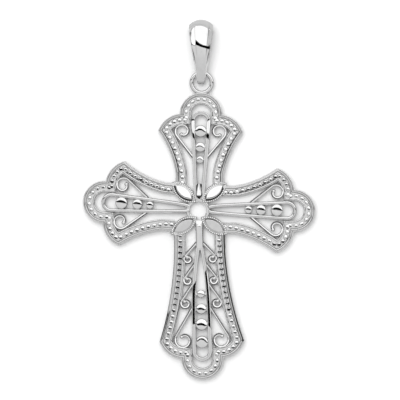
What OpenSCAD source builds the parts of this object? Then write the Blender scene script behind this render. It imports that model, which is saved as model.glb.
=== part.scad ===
// Filigree cross pendant: a one-piece silver casting with a soldered ring, and a loose tapered bail.
// It lies on its back. X runs across the arms, Y towards the bail, Z up out of the face.

/* [Arms] */
// Distance from the crossing to the tip of the head arm and the two side arms
short_reach = 18.6; // [17.6:0.1:19.6]
// Distance from the crossing to the tip of the foot arm
long_reach = 27.3; // [26:0.1:28.5]
// Half the width of an arm across its flared corners
corner_half_w = 6.8; // [6.6:0.05:7]
// Distance from an arm's tip back to its corners
corner_drop = 6.2; // [6:0.05:6.5]
// Half the width of a short arm where it leaves the crossing
short_root_w = 3.85; // [3.7:0.05:4]
// Half the width of the foot arm where it leaves the crossing
long_root_w = 4.1; // [3.9:0.05:4.3]
// Radius of the round lobe on each tip
lobe_r = 3.4; // [3.3:0.05:3.5]
// Radius of the convex shoulder between a lobe and a corner
shoulder_r = 4.1; // [3.9:0.1:5]
// Radius of the hollow flank of a short arm
short_flank_r = 16; // [13:0.5:22]
// Radius of the hollow flank of the foot arm
long_flank_r = 52; // [44:1:70]

/* [Border] */
// Width of the whole beaded border
border_w = 1.78; // [1.7:0.02:1.86]
// Width of the raised wire round the outside
rim_w = 0.46; // [0.4:0.02:0.5]
// Width of the thin edge on the inside of the border
inner_edge_w = 0.2; // [0.15:0.01:0.25]
// Diameter of a border bead
bead_d = 0.72; // [0.6:0.02:0.76]
// Distance between bead centres, fitted evenly along each arc
bead_pitch = 0.91; // [0.85:0.01:1.1]
// Distance from the outside edge in to the bead centres
bead_inset = 1; // [0.94:0.01:1.04]

/* [Openwork] */
// Width of the two bars that run along each arm
bar_w = 0.6; // [0.5:0.02:0.7]
// Width of the foot arm's stem, where its two bars have run together
stem_w = 1.2; // [1:0.02:1.26]
// Half the distance between the bar centres at their round outer end
bar_end_r = 1.27; // [1.2:0.01:1.35]
// Distance from an arm's tip back to the centre of the bars' round end
bar_end_drop = 4.52; // [4.4:0.02:4.7]
// Width of a scroll wire
scroll_w = 0.46; // [0.4:0.02:0.54]
// Diameter of the ball on a scroll's inner end
scroll_ball_d = 0.62; // [0.5:0.02:0.7]

/* [Centre] */
// Length of a petal's smooth face
petal_face_l = 3.5; // [3.2:0.05:3.7]
// Width of a petal's smooth face
petal_face_w = 1.45; // [1.3:0.05:1.6]
// Width of the grained edge round a petal's face
petal_edge_w = 0.5; // [0.4:0.02:0.56]
// Side of the square corner that ends a petal's edge between two arms
petal_corner = 1.3; // [1.1:0.05:1.4]
// Distance of the petal centres from the crossing, across
petal_x = 2.45; // [2.4:0.01:2.5]
// Distance of the petal centres from the crossing, lengthwise
petal_y = 2.68; // [2.6:0.01:2.75]
// Radius of the wide end of the hole at the crossing
hole_r = 1.33; // [1.2:0.01:1.4]
// Radius of the narrow end of that hole
hole_tail_r = 0.5; // [0.4:0.01:0.55]

/* [Heights] */
// Height of the border's floor above the flat back
floor_h = 1.05; // [0.9:0.05:1.2]
// Height of the raised outer wire, the bars and the petals' edges
rim_h = 1.5; // [1.4:0.05:1.6]
// Height of the border's thin inner edge and of the scrolls
scroll_h = 1.25; // [1.15:0.05:1.35]
// Height of the tallest petal face
petal_h = 1.95; // [1.8:0.05:2.1]

/* [Ring] */
// Mean radius of the soldered ring
ring_r = 1.62; // [1.56:0.01:1.68]
// Thickness of the ring's wire
ring_wire_d = 0.64; // [0.56:0.02:0.7]
// Distance from the head arm's tip out to the ring's centre
ring_gap = 1.62; // [1.58:0.01:1.7]
// Height of the ring's centre above the flat back
ring_h = 1.02; // [1:0.01:1.06]

/* [Bail] */
// Thickness of the bail's strip
strip_t = 0.45; // [0.38:0.01:0.48]
// Radius of the strip's centre line at the narrow end, which holds the ring
eye_r = 0.8; // [0.78:0.01:0.84]
// Radius of the strip's centre line at the wide end, where a chain passes
crown_r = 1.3; // [1.2:0.05:1.4]
// Radius of the front's long bow, seen from the side
bow_r = 7; // [6.6:0.1:7.4]
// Turn of the bow away from the flat back where the crown's tighter bend begins
bow_turn = 30; // [28:1:32]
// Distance from the ring's wire down to the bail's tip
tip_drop = 1.9; // [1.8:0.05:2]
// Distance from the ring's wire up to the bail's crown
crown_rise = 8.45; // [8:0.05:8.8]
// Width of the strip at its tip
tip_w = 1.1; // [0.9:0.02:1.2]
// Width of the strip at the ring's wire
neck_w = 1.75; // [1.6:0.01:1.8]
// Greatest width of the strip, near the crown
crown_w = 3.9; // [3.6:0.05:4]

/* [Hidden] */

// An arm's row: turn from straight up, reach, half width at its root, flank radius, kind
TURN = 0; REACH = 1; ROOT_W = 2; FLANK_R = 3; KIND = 4;
SHORT = 0; LONG = 1;
// Hand assembly leaves each arm a few degrees off square
ARMS = [
    [-1.2, short_reach, short_root_w, short_flank_r, SHORT],
    [-91, short_reach, short_root_w, short_flank_r, SHORT],
    [85.7, short_reach, short_root_w, short_flank_r, SHORT],
    [181.3, long_reach, long_root_w, long_flank_r, LONG]
];
HEAD = ARMS[0]; RIGHT = ARMS[1]; LEFT = ARMS[2]; FOOT = ARMS[3];
root_u = 5.6;

// Half the distance between the bars' centres at points along an arm, from its outer end inwards
BAR_SPACING = [
    [[2.6, 0.6], [1.6, 0.34]],
    [[15, 1.22], [10.4, 0.94], [6.2, 0.34]]
];
// Where the foot arm's two bars become one stem, and where the stem ends
stem = [6.6, 2.4];

// Domes between the bars: distance along the arm, diameter
DOMES = [
    [[12.45, 1.92], [9.9, 1.6], [7.9, 1.2]],
    [[21.3, 1.96], [18.5, 1.9], [16, 1.66], [13.6, 1.26]]
];

// Scrolls: distance along the arm where the wire leaves its bar, curl centre across and along, radius
LEAVE = 0; ACROSS = 1; ALONG = 2; CURL_R = 3;
SCROLLS = [
    [[8, 2.9, 12.35, 1.2]],
    [[15.4, 2.98, 20.9, 1.36], [11.6, 2.5, 15.05, 0.78], [8.4, 2.06, 11.4, 0.68], [5.2, 1.96, 7.95, 0.68]]
];
// Turn of a scroll's curl, and the share of its radius that it loses on the way
curl_turn = 330;
curl_loss = 0.58;

// Petals: side, end, direction that the long axis points outwards in
PETALS = [[-1, 1, 139], [1, 1, 39], [-1, -1, 213], [1, -1, -33.5]];
// How far the crest of a petal's face lies towards the crossing, and its share of the face's size
petal_lean = 0.4;
crest = [0.6, 0.35];
// How much longer than wide a petal's edge is
edge_stretch = 3.2;

// Middle of the hole's wide end, and how far down its narrow end lies
hole_at = [-0.16, -0.2];
hole_tail_y = -1.32;
hole_edge_w = 0.55;
// The small bright wedge at the head of the foot arm's stem: its top and bottom, and half its width there
wedge_y = [-1.88, -2.8];
wedge_w = [0.62, 0.3];

// Share of a bead's width that is left at its top
bead_taper = 0.55;
// Heights on a dome at which its outline is drawn, in degrees up from its foot
DOME_STEPS = [0, 35, 65];
ring_at = HEAD[REACH] + ring_gap;
lobe_sides = 8;
arc_sides = 4;
petal_sides = 6;
overlap = 0.05;
// How far a raised edge steps in from the wall below it
step = 0.03;
strap_h = 0.7;

// The bail's hinge line runs along X through the middle of the ring's top wire
bail_x = 0.32;
hinge_at = ring_at * cos(HEAD[TURN]) + ring_r;
crown_sides = 9;
bow_sides = 7;
eye_sides = 8;
flank_steps = 3;
// Sag of the strip's face from its middle to its edges, and how much more its crown falls at the corners
strip_sag = 0.3;
crown_arch = 0.42;

// How far an arm's lobe reaches from the crossing in the direction that the arm is named for
function extent(arm, square) = (arm[REACH] - lobe_r) * cos(arm[TURN] - square) + lobe_r;

// The crossing's place, with the origin under the middle of the whole pendant
crossing = [
    (extent(LEFT, 90) - extent(RIGHT, -90)) / 2,
    (extent(FOOT, 180) - hinge_at - crown_rise) / 2,
    0
];

function polar(r, a) = [r * cos(a), r * sin(a)];
function bearing(p) = atan2(p[1], p[0]);
function turn_between(a, b) = (b - a + 540) % 360 - 180;
function mirrored(points) = [for (p = points) [-p[0], p[1]]];
function reversed(list) = [for (i = [len(list) - 1:-1:0]) list[i]];

// Centre of the circle of radius r through a and b, on the side given
function arc_centre(a, b, r, side) =
    let (d = b - a, h = sqrt(r * r - d * d / 4))
    (a + b) / 2 + side * h * [-d[1], d[0]] / norm(d);

// Points from a round to b about centre c, at n + 1 even steps
function arc(c, a, b, n) =
    let (start = bearing(a - c), turn = turn_between(start, bearing(b - c)))
    [for (i = [0:n]) c + polar(norm(a - c), start + turn * i / n)];

// Where two circles meet, on the side given
function meet(c1, r1, c2, r2, side) =
    let (d = c2 - c1, l = norm(d), x = (l * l + r1 * r1 - r2 * r2) / (2 * l))
    c1 + x * d / l + side * sqrt(r1 * r1 - x * x) * [-d[1], d[0]] / l;

// The corners and arc centres of an arm's right half
function lobe_centre(arm) = [0, arm[REACH] - lobe_r];
function notch(arm) = [lobe_r, arm[REACH] - lobe_r];
function corner(arm) = [corner_half_w, arm[REACH] - corner_drop];
function root(arm) = [arm[ROOT_W], root_u];
function shoulder_centre(arm) = arc_centre(notch(arm), corner(arm), shoulder_r, -1);
function flank_centre(arm) = arc_centre(corner(arm), root(arm), arm[FLANK_R], 1);

// The right half of an arm's outline, from the tip to the crossing
function half_outline(arm) = concat(
    arc(lobe_centre(arm), [0, arm[REACH]], notch(arm), lobe_sides),
    arc(shoulder_centre(arm), notch(arm), corner(arm), arc_sides),
    arc(flank_centre(arm), corner(arm), root(arm), arc_sides),
    [[arm[ROOT_W], 0]]
);

// Bead centres along one arc at an even pitch
function beads_on(c, a, b) =
    let (start = bearing(a - c), turn = turn_between(start, bearing(b - c)), r = norm(a - c),
         n = round(r * abs(turn) * PI / 180 / bead_pitch))
    [for (i = [0:n - 1]) c + polar(r, start + turn * (i + 0.5) / n)];

// Bead centres along the right half of an arm, from the tip to the petals
function half_beads(arm) =
    let (lobe = lobe_centre(arm), shoulder = shoulder_centre(arm), flank = flank_centre(arm),
         lobe_row = lobe_r - bead_inset, shoulder_row = shoulder_r - bead_inset,
         flank_row = arm[FLANK_R] + bead_inset,
         valley = meet(lobe, lobe_row, shoulder, shoulder_row, 1),
         peak = meet(shoulder, shoulder_row, flank, flank_row, 1),
         end = root(arm) - [bead_inset, bead_inset])
    concat(
        beads_on(lobe, lobe + [0, lobe_row], valley),
        beads_on(shoulder, valley, peak),
        beads_on(flank, peak, flank + flank_row * (end - flank) / norm(end - flank))
    );

// The right bar of an arm, from its round end in to the crossing
function bar_path(arm) = concat(
    [[bar_end_r, arm[REACH] - bar_end_drop]],
    [for (p = BAR_SPACING[arm[KIND]]) [p[1], p[0]]]
);
function bar_at(arm, u) = lookup(u, [for (p = bar_path(arm)) [p[1], p[0]]]);

// Both bars in one wire, up from the crossing, round the outer end and back
function bars_path(arm) =
    let (right = bar_path(arm), steps = 8)
    concat(
        reversed(right),
        [for (i = [1:steps - 1]) [0, arm[REACH] - bar_end_drop] + polar(bar_end_r, 180 * i / steps)],
        mirrored(right)
    );

// A scroll from its bar, along a straight run, round its curl
function scroll_path(arm, row) =
    let (from = [bar_at(arm, row[LEAVE]), row[LEAVE]], c = [row[ACROSS], row[ALONG]],
         back = from - c, start = bearing(back) + acos(row[CURL_R] / norm(back)),
         steps = row[CURL_R] > 1 ? 10 : 7)
    concat([from], [for (i = [0:steps])
        c + polar(row[CURL_R] * (1 - curl_loss * pow(i / steps, 2)), start + curl_turn * i / steps)]);

// Outline of a pointed oval of length l and width w
function oval(l, w, n) =
    let (r = (l * l / w + w) / 4, a = asin(l / 2 / r))
    concat(
        [for (i = [0:n - 1]) [r * sin(-a + 2 * a * i / n), r * cos(-a + 2 * a * i / n) - r + w / 2]],
        [for (i = [0:n - 1]) [r * sin(a - 2 * a * i / n), r - r * cos(a - 2 * a * i / n) - w / 2]]
    );

// Sideways direction at each point of a path
function aside(path, i) =
    let (d = path[min(i + 1, len(path) - 1)] - path[max(i - 1, 0)])
    [-d[1], d[0]] / norm(d);

// A flat wire of width w along a path
module wire(path, w) {
    polygon(concat(
        [for (i = [0:len(path) - 1]) path[i] + aside(path, i) * w / 2],
        [for (i = [len(path) - 1:-1:0]) path[i] - aside(path, i) * w / 2]
    ));
}

module both_sides() {
    children();
    mirror([1, 0]) children();
}

module outline() {
    for (arm = ARMS)
        rotate(arm[TURN])
            polygon(concat(half_outline(arm), reversed(mirrored(half_outline(arm)))));
}

module border(outer, inner) {
    difference() {
        offset(delta = -outer) outline();
        offset(delta = -inner) outline();
    }
}

module bars(arm) {
    wire(bars_path(arm), bar_w);
    if (arm[KIND] == LONG)
        wire([for (u = stem) [0, u]], stem_w);
}

module scrolls(arm) {
    both_sides()
        for (row = SCROLLS[arm[KIND]]) {
            path = scroll_path(arm, row);
            wire(path, scroll_w);
            translate(path[len(path) - 1]) circle(d = scroll_ball_d, $fn = 6);
        }
}

module petal_at(row) {
    translate([row[0] * petal_x, row[1] * petal_y]) rotate(row[2]) children();
}

module petal_outline(edge) {
    polygon(oval(petal_face_l + edge_stretch * edge, petal_face_w + 2 * edge, petal_sides));
}

// The outline of a petal's edge, with its square outer corner
module petal_collar(edge) {
    petal_outline(edge);
    translate([(petal_face_l + edge_stretch * edge) / 2, 0]) rotate(135) square(petal_corner);
}

module hole() {
    hull() {
        translate(hole_at) circle(r = hole_r, $fn = 20);
        translate([hole_at[0], hole_tail_y]) circle(r = hole_tail_r, $fn = 10);
    }
}

// Everything that stands on the flat back up to height h
module layer(h) {
    linear_extrude(h) children();
}

// What stands on a layer of height from, up to height to
module raised(from, to) {
    translate([0, 0, from - overlap]) layer(to - from + overlap) children();
}

// A round dome, on a low strap that ties it to both bars
module dome(arm, row) {
    translate([0, row[0], 0]) {
        hull()
            for (a = DOME_STEPS)
                cylinder(d = row[1] * cos(a), h = floor_h + row[1] * sin(a) / 2, $fn = 10);
        layer(strap_h) square([2 * bar_at(arm, row[0]), row[1] / 2], center = true);
    }
}

module bead() {
    translate([0, 0, floor_h - overlap])
        cylinder(d1 = bead_d, d2 = bead_d * bead_taper, h = rim_h - floor_h + overlap, $fn = 5);
}

module petal() {
    layer(scroll_h) petal_collar(petal_edge_w);
    raised(scroll_h, rim_h) difference() {
        petal_collar(petal_edge_w - step);
        petal_outline(petal_edge_w / 2 - step);
    }
    hull() {
        raised(scroll_h, rim_h) petal_outline(0);
        raised(scroll_h, petal_h) translate([-petal_lean, 0]) scale(crest) petal_outline(0);
    }
}

module crossing_plate() {
    layer(scroll_h) offset(delta = hole_edge_w) hole();
    layer(rim_h) polygon([[-wedge_w[0], wedge_y[0]], [wedge_w[0], wedge_y[0]],
        [wedge_w[1], wedge_y[1]], [-wedge_w[1], wedge_y[1]]]);
}

module ring() {
    rotate(HEAD[TURN]) translate([0, ring_at, ring_h])
        rotate_extrude($fn = 20) translate([ring_r, 0]) circle(d = ring_wire_d, $fn = 6);
}

module cross() {
    color("gainsboro") translate(crossing) {
        difference() {
            union() {
                layer(floor_h) border(0, border_w);
                raised(floor_h, rim_h) border(step, rim_w);
                raised(floor_h, scroll_h) border(border_w - inner_edge_w, border_w - step);
                for (arm = ARMS)
                    rotate(arm[TURN]) {
                        layer(rim_h) bars(arm);
                        layer(scroll_h) scrolls(arm);
                        for (row = DOMES[arm[KIND]]) dome(arm, row);
                        both_sides() for (p = half_beads(arm)) translate(p) bead();
                    }
                for (row = PETALS) petal_at(row) petal();
                crossing_plate();
            }
            translate([0, 0, -overlap]) layer(2 * petal_h) hole();
        }
        ring();
    }
}

// The bail's side view, seen along X: centres of the strip's bends, and the turn of its front at the eye
eye = [eye_r + strip_t / 2 - tip_drop, eye_r + strip_t / 2];
crown = [crown_rise - crown_r - strip_t / 2, crown_r + strip_t / 2];
bow = crown - (bow_r - crown_r) * [sin(bow_turn), cos(bow_turn)];
span = bow - eye;
rise = atan2(span[0], -span[1]) - acos((bow_r - eye_r) / norm(span));

// Stations round the strip: middle of the strip and the direction that its outer face looks in
function flank(c1, r1, c2, r2, a) =
    [for (i = [1:flank_steps - 1]) [c1 + polar(r1, a) + (c2 + polar(r2, a) - c1 - polar(r1, a))
        * i / flank_steps, a]];
function bend(c, r, from, to, n) =
    [for (i = [0:n]) let (a = from + (to - from) * i / n) [c + polar(r, a), a]];
stations = concat(
    bend(crown, crown_r, -90, 90 - bow_turn, crown_sides),
    [for (i = [1:bow_sides]) bend(bow, bow_r, 90 - bow_turn, 90 + rise, bow_sides)[i]],
    bend(eye, eye_r, 90 + rise, 270, eye_sides),
    flank(eye, eye_r, crown, crown_r, 270)
);

function strip_w(s) = lookup(s, [
    [-tip_drop, tip_w], [0, neck_w], [0.76 * crown_rise, crown_w], [crown_rise, 0.95 * crown_w]
]);

// The strip's cross-section where its outer face looks in direction a, arched where that is over the top
function section(w, a) =
    let (sag = strip_sag * w / crown_w, arch = crown_arch * pow(max(0, cos(a)), 3))
    [
        for (x = [-1, -0.8, -0.45, 0, 0.45, 0.8, 1]) [x * w / 2, strip_t / 2 - (sag + arch) * x * x],
        for (x = [0.92, 0.5, 0, -0.5, -0.92]) [x * w / 2, -strip_t / 2 - (0.6 * sag + arch) * x * x]
    ];

module bail() {
    rings = [for (st = stations) [for (p = section(strip_w(st[0][0]), st[1]))
        [p[0], st[0][0] + p[1] * cos(st[1]), st[0][1] + p[1] * sin(st[1])]]];
    n = len(rings);
    m = len(rings[0]);
    color("silver") translate(crossing + [bail_x, hinge_at, 0])
        polyhedron(
            points = [for (r = rings) each r],
            faces = [for (i = [0:n - 1], j = [0:m - 1])
                let (a = i * m + j, b = i * m + (j + 1) % m,
                     c = (i + 1) % n * m + (j + 1) % m, d = (i + 1) % n * m + j)
                each [[a, b, c], [a, c, d]]]
        );
}

cross();
bail();
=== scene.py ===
"""Looks of the filigree cross pendant: silver openwork, beaded borders, a ring and a tapered bail."""
import math

import bmesh
import bpy
from mathutils import Matrix, Vector


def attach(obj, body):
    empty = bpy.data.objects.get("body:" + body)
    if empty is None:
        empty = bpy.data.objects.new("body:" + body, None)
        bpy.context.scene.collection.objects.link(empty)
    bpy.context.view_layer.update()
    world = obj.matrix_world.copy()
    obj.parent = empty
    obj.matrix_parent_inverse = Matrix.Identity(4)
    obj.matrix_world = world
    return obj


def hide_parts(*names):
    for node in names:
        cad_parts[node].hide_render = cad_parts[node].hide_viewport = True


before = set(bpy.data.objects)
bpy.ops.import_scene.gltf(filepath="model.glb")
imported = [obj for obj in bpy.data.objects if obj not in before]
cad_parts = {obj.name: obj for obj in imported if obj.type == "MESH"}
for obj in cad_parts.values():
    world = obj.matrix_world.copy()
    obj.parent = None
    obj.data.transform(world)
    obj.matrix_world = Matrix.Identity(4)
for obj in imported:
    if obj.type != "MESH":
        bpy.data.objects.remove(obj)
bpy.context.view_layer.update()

bl_info = {
    "name": "Filigree cross pendant",
    "version": (1, 0, 0),
    "blender": (4, 5, 0),
    "location": "View3D > Sidebar > Pendant",
    "description": "Builds a silver openwork cross with beaded borders, a ring and a bail",
    "category": "Add Mesh",
}

# Tables of places and sizes are in millimetres, and are multiplied by this where they are used
MM = 0.001

# Turn of each arm from straight up, in degrees, and whether it is the long foot
HEAD_TURN = -1.2
ARMS = {"head": (HEAD_TURN, False), "right": (-91, False), "left": (85.7, False), "foot": (181.3, True)}
# How far along an arm its hollow flank starts, and where the border ends under the petals
ROOT_U = 5.6
BORDER_END_U = 3.8

# Half the distance between the bars on the short arms (False) and on the foot (True), from outside
# inwards: along, half distance
BAR_SPACING = {False: [(2.6, 0.6), (1.6, 0.34)], True: [(15, 1.22), (10.4, 0.94), (6.2, 0.34)]}
# Where the foot's two bars have run together into one stem, and its width
STEM = (6.6, 2.4)
STEM_W = 1.2 * MM
# Domes between the bars: along, diameter, how curved the top is, its lean to the bail in degrees,
# and how much more it leans at its left and right, as a share of its curve
DOMES = {
    "head": [(12.45, 1.92, 0.2, 1.0, 0.7), (9.9, 1.6, 0.3, 0.8, 0.7), (7.9, 1.2, 0.3, 0.8, 0.7)],
    "right": [(12.45, 1.92, 0.13, 3.3, 0.1), (9.9, 1.6, 0.13, 3.8, 0.1), (7.9, 1.2, 0.13, 3.8, 0.1)],
    "left": [(12.45, 1.92, 0.13, 3.3, 0.1), (9.9, 1.6, 0.13, 3.8, 0.1), (7.9, 1.2, 0.13, 3.8, 0.1)],
    "foot": [(21.3, 1.96, 0.12, 2.6, 0.8), (18.5, 1.9, 0.145, 6.7, 0.5), (16, 1.66, 0.145, 6.7, 0.5),
             (13.6, 1.26, 0.3, 6.7, 0.3)],
}
# Scrolls of a short arm (False) and of the foot (True): along where the wire leaves its bar, curl
# centre across and along, curl radius
SCROLLS = {
    False: [(8, 2.9, 12.35, 1.2)],
    True: [(15.4, 2.98, 20.9, 1.36), (11.6, 2.5, 15.05, 0.78), (8.4, 2.06, 11.4, 0.68),
           (5.2, 1.96, 7.95, 0.68)],
}
# How far a curl turns, in degrees, and what share of its radius it loses on the way
CURL_TURN, CURL_LOSS = 330, 0.58
# Petals: side, end, direction that the long axis points outwards in
PETALS = [(-1, 1, 139), (1, 1, 39), (-1, -1, 213), (1, -1, -33.5)]
# How much longer a petal's grained edge gets for each mm that it is wider on one side
EDGE_STRETCH = 3.2
# Middles of the hole's wide and narrow ends, from the crossing, and the bail's place across
HOLE_AT = Vector((-0.16, -0.2)) * MM
HOLE_TAIL_AT = Vector((-0.16, -1.32)) * MM
BAIL_X = 0.32 * MM


def length(name, description, millimetres):
    """A size property, stated in millimetres and held in metres."""
    return bpy.props.FloatProperty(name=name, description=description, default=millimetres * MM,
                                   min=0.0, precision=5, unit="LENGTH")


def angle(name, description, degrees):
    """An angle property, stated in degrees and held in radians."""
    return bpy.props.FloatProperty(name=name, description=description,
                                   default=math.radians(degrees), subtype="ANGLE")


def grey(name, description, value):
    """A neutral colour property."""
    return bpy.props.FloatVectorProperty(name=name, description=description, size=4, min=0.0,
                                         default=(value, value, value, 1.0), subtype="COLOR")


def share(name, description, value, top=1.0):
    """A plain number property from nothing up to top."""
    return bpy.props.FloatProperty(name=name, description=description, default=value, min=0.0,
                                   max=top)


class CrossSizes(bpy.types.PropertyGroup):
    """Sizes of the cross itself"""
    short_reach: length("Short reach", "From the crossing to the tip of the head and side arms", 18.6)
    long_reach: length("Long reach", "From the crossing to the tip of the foot", 27.3)
    corner_half_w: length("Corner half width", "Half the width across an arm's flared corners", 6.8)
    corner_drop: length("Corner drop", "From an arm's tip back to its corners", 6.2)
    short_root_w: length("Short root", "Half the width of a short arm at the crossing", 3.85)
    long_root_w: length("Long root", "Half the width of the foot at the crossing", 4.1)
    lobe_r: length("Lobe radius", "Radius of the round lobe on each tip", 3.4)
    shoulder_r: length("Shoulder radius", "Radius of the shoulder between lobe and corner", 4.1)
    short_flank_r: length("Short flank radius", "Radius of a short arm's hollow flank", 16)
    long_flank_r: length("Long flank radius", "Radius of the foot's hollow flank", 52)
    border_w: length("Border width", "Width of the whole beaded border", 1.78)
    rim_w: length("Wire width", "Width of the raised wire round the outside", 0.46)
    inner_edge_w: length("Inner edge", "Width of the thin edge inside the border", 0.2)
    bead_d: length("Bead diameter", "Diameter of a border bead", 0.8)
    bead_pitch: length("Bead pitch", "Distance between bead centres", 0.91)
    bead_inset: length("Bead inset", "From the outside edge in to the bead centres", 1.0)
    bar_w: length("Bar width", "Width of the bars along each arm", 0.6)
    bar_end_r: length("Bar end radius", "Half the distance between the bars at their outer end", 1.27)
    bar_end_drop: length("Bar end drop", "From an arm's tip back to the bars' round end", 4.52)
    scroll_w: length("Scroll width", "Width of a scroll wire", 0.46)
    scroll_ball_d: length("Scroll ball", "Diameter of the ball on a scroll's inner end", 0.62)
    petal_face_l: length("Petal length", "Length of a petal's smooth face", 3.5)
    petal_face_w: length("Petal width", "Width of a petal's smooth face", 1.45)
    petal_edge_w: length("Petal edge", "Width of the grained edge round a petal", 0.5)
    petal_corner: length("Petal corner", "Side of the square corner of a petal's edge", 1.3)
    petal_x: length("Petal place across", "From the crossing to a petal's middle, across", 2.45)
    petal_y: length("Petal place along", "From the crossing to a petal's middle, lengthwise", 2.68)
    grain_d: length("Grain diameter", "Diameter of the fine grains round a petal", 0.27)
    hole_r: length("Hole radius", "Radius of the wide end of the hole", 1.33)
    hole_tail_r: length("Hole tail radius", "Radius of the narrow end of the hole", 0.5)
    floor_h: length("Floor height", "Height of the border's floor", 1.05)
    rim_h: length("Wire height", "Height of the outer wire and the bars", 1.5)
    scroll_h: length("Scroll height", "Height of the scrolls and the inner edge", 1.25)


class BailSizes(bpy.types.PropertyGroup):
    """Sizes of the ring and the bail"""
    ring_r: length("Ring radius", "Mean radius of the ring", 1.62)
    ring_wire_d: length("Ring wire", "Thickness of the ring's wire", 0.64)
    ring_gap: length("Ring place", "From the head's tip out to the ring's centre", 1.62)
    ring_h: length("Ring height", "Height of the ring's centre", 1.02)
    strip_t: length("Strip thickness", "Thickness of the bail's strip", 0.44)
    eye_r: length("Eye radius", "Radius of the strip round the ring", 0.8)
    crown_r: length("Crown radius", "Radius of the strip at the wide end", 1.3)
    bow_r: length("Bow radius", "Radius of the front's long bow", 7.0)
    bow_turn: angle("Bow turn", "Turn of the bow where the crown's bend begins", 30)
    tip_drop: length("Tip drop", "From the hinge down to the bail's tip", 1.9)
    crown_rise: length("Crown rise", "From the hinge up to the bail's crown", 8.43)
    tip_w: length("Tip width", "Width of the strip at its tip", 1.1)
    neck_w: length("Neck width", "Width of the strip at the hinge", 1.75)
    crown_w: length("Crown width", "Greatest width of the strip", 3.9)
    sag: length("Sag", "Fall of the strip's face from its middle to its edges", 0.3)
    crown_arch: length("Crown arch", "How much more the crown falls at its corners", 0.42)


class SilverLook(bpy.types.PropertyGroup):
    """Colours and finish of the silver"""
    cast_colour: grey("Cast silver", "Colour of the cast silver", 0.93)
    bail_colour: grey("Bail silver", "Colour of the bail's silver", 0.95)
    # Colour mixed in as painted shade in grooves and as painted dark reflections along edges
    painted_shade_colour: grey("Painted shade", "Colour of the shaded grooves", 0.05)
    cast_roughness: share("Cast roughness", "Roughness of the cast silver", 0.04)
    bail_roughness: share("Bail roughness", "Roughness of the bail", 0.02)
    grain_height: length("Casting grain", "Height of the fine casting grain", 0.0012)
    foot_bow: angle("Foot bow", "How far the foot's surfaces lean up towards the crossing", 6.7)
    # Strength of the painted shade that darkens steep sides by which way they face
    side_shade: share("Side shade", "How dull the steep sides of the wires and domes are", 0.25)
    bail_skew: share("Bail skew", "How much more the bail's face leans for each mm to the right", 0.022)
    head_bow: angle("Head bow", "How far the outer end of the head's bars leans up", 10)


class StageLook(bpy.types.PropertyGroup):
    """Floor, light and camera"""
    floor_colour: grey("Floor", "Colour of the floor", 0.9)
    mirrored_floor_colour: grey("Mirrored floor", "Colour of the floor as the silver shows it", 0.6)
    light_power: bpy.props.FloatProperty(name="Light", description="Power of the soft light",
                                         default=2.1, min=0.0, unit="POWER")
    light_size: length("Light size", "Side of the soft light", 400)
    sky: share("Sky", "Strength of the light dome", 1.0, 10.0)
    sky_turn: angle("Sky turn", "Turn of the light dome's bright side to the right", 8)
    lens: bpy.props.FloatProperty(name="Lens", description="Focal length in millimetres",
                                  default=180.0, min=1.0, unit="CAMERA")
    view_width: length("View width", "Width that the camera takes in", 64)


class PendantSettings(bpy.types.PropertyGroup):
    """All settings of the pendant"""
    cross: bpy.props.PointerProperty(type=CrossSizes)
    bail: bpy.props.PointerProperty(type=BailSizes)
    silver: bpy.props.PointerProperty(type=SilverLook)
    stage: bpy.props.PointerProperty(type=StageLook)


# Plane geometry


def polar(radius, degrees):
    """The point at a distance and direction from the origin."""
    turn = math.radians(degrees)
    return Vector((radius * math.cos(turn), radius * math.sin(turn)))


def bearing(point):
    """Direction of a point from the origin, in degrees."""
    return math.degrees(math.atan2(point.y, point.x))


def turn_between(start, end):
    """The shorter turn from one direction to another, in degrees."""
    return (end - start + 540) % 360 - 180


def arc_centre(a, b, radius, side):
    """Centre of the circle of a radius through a and b, on the side given."""
    d = b - a
    height = math.sqrt(radius * radius - d.length_squared / 4)
    return (a + b) / 2 + side * height * Vector((-d.y, d.x)) / d.length


def arc(centre, a, b, steps):
    """Points from a round to b about a centre, at even steps."""
    start = bearing(a - centre)
    turn = turn_between(start, bearing(b - centre))
    radius = (a - centre).length
    return [centre + polar(radius, start + turn * i / steps) for i in range(steps + 1)]


def meet(c1, r1, c2, r2, side):
    """Where two circles meet, on the side given."""
    d = c2 - c1
    along = (d.length_squared + r1 * r1 - r2 * r2) / (2 * d.length)
    across = math.sqrt(r1 * r1 - along * along)
    return c1 + along * d / d.length + side * across * Vector((-d.y, d.x)) / d.length


def turned(point, degrees):
    """A plane point turned about the origin."""
    turn = math.radians(degrees)
    c, s = math.cos(turn), math.sin(turn)
    return Vector((c * point.x - s * point.y, s * point.x + c * point.y))


def lookup(at, rows):
    """The value at a place in rows of place and value, on straight lines between them."""
    rows = sorted(rows)
    if at <= rows[0][0]:
        return rows[0][1]
    for (x0, y0), (x1, y1) in zip(rows, rows[1:]):
        if at <= x1:
            return y0 + (y1 - y0) * (at - x0) / (x1 - x0)
    return rows[-1][1]


def mirrored(points):
    """Points on the other side of an arm."""
    return [Vector((-p.x, p.y)) for p in points]


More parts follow.
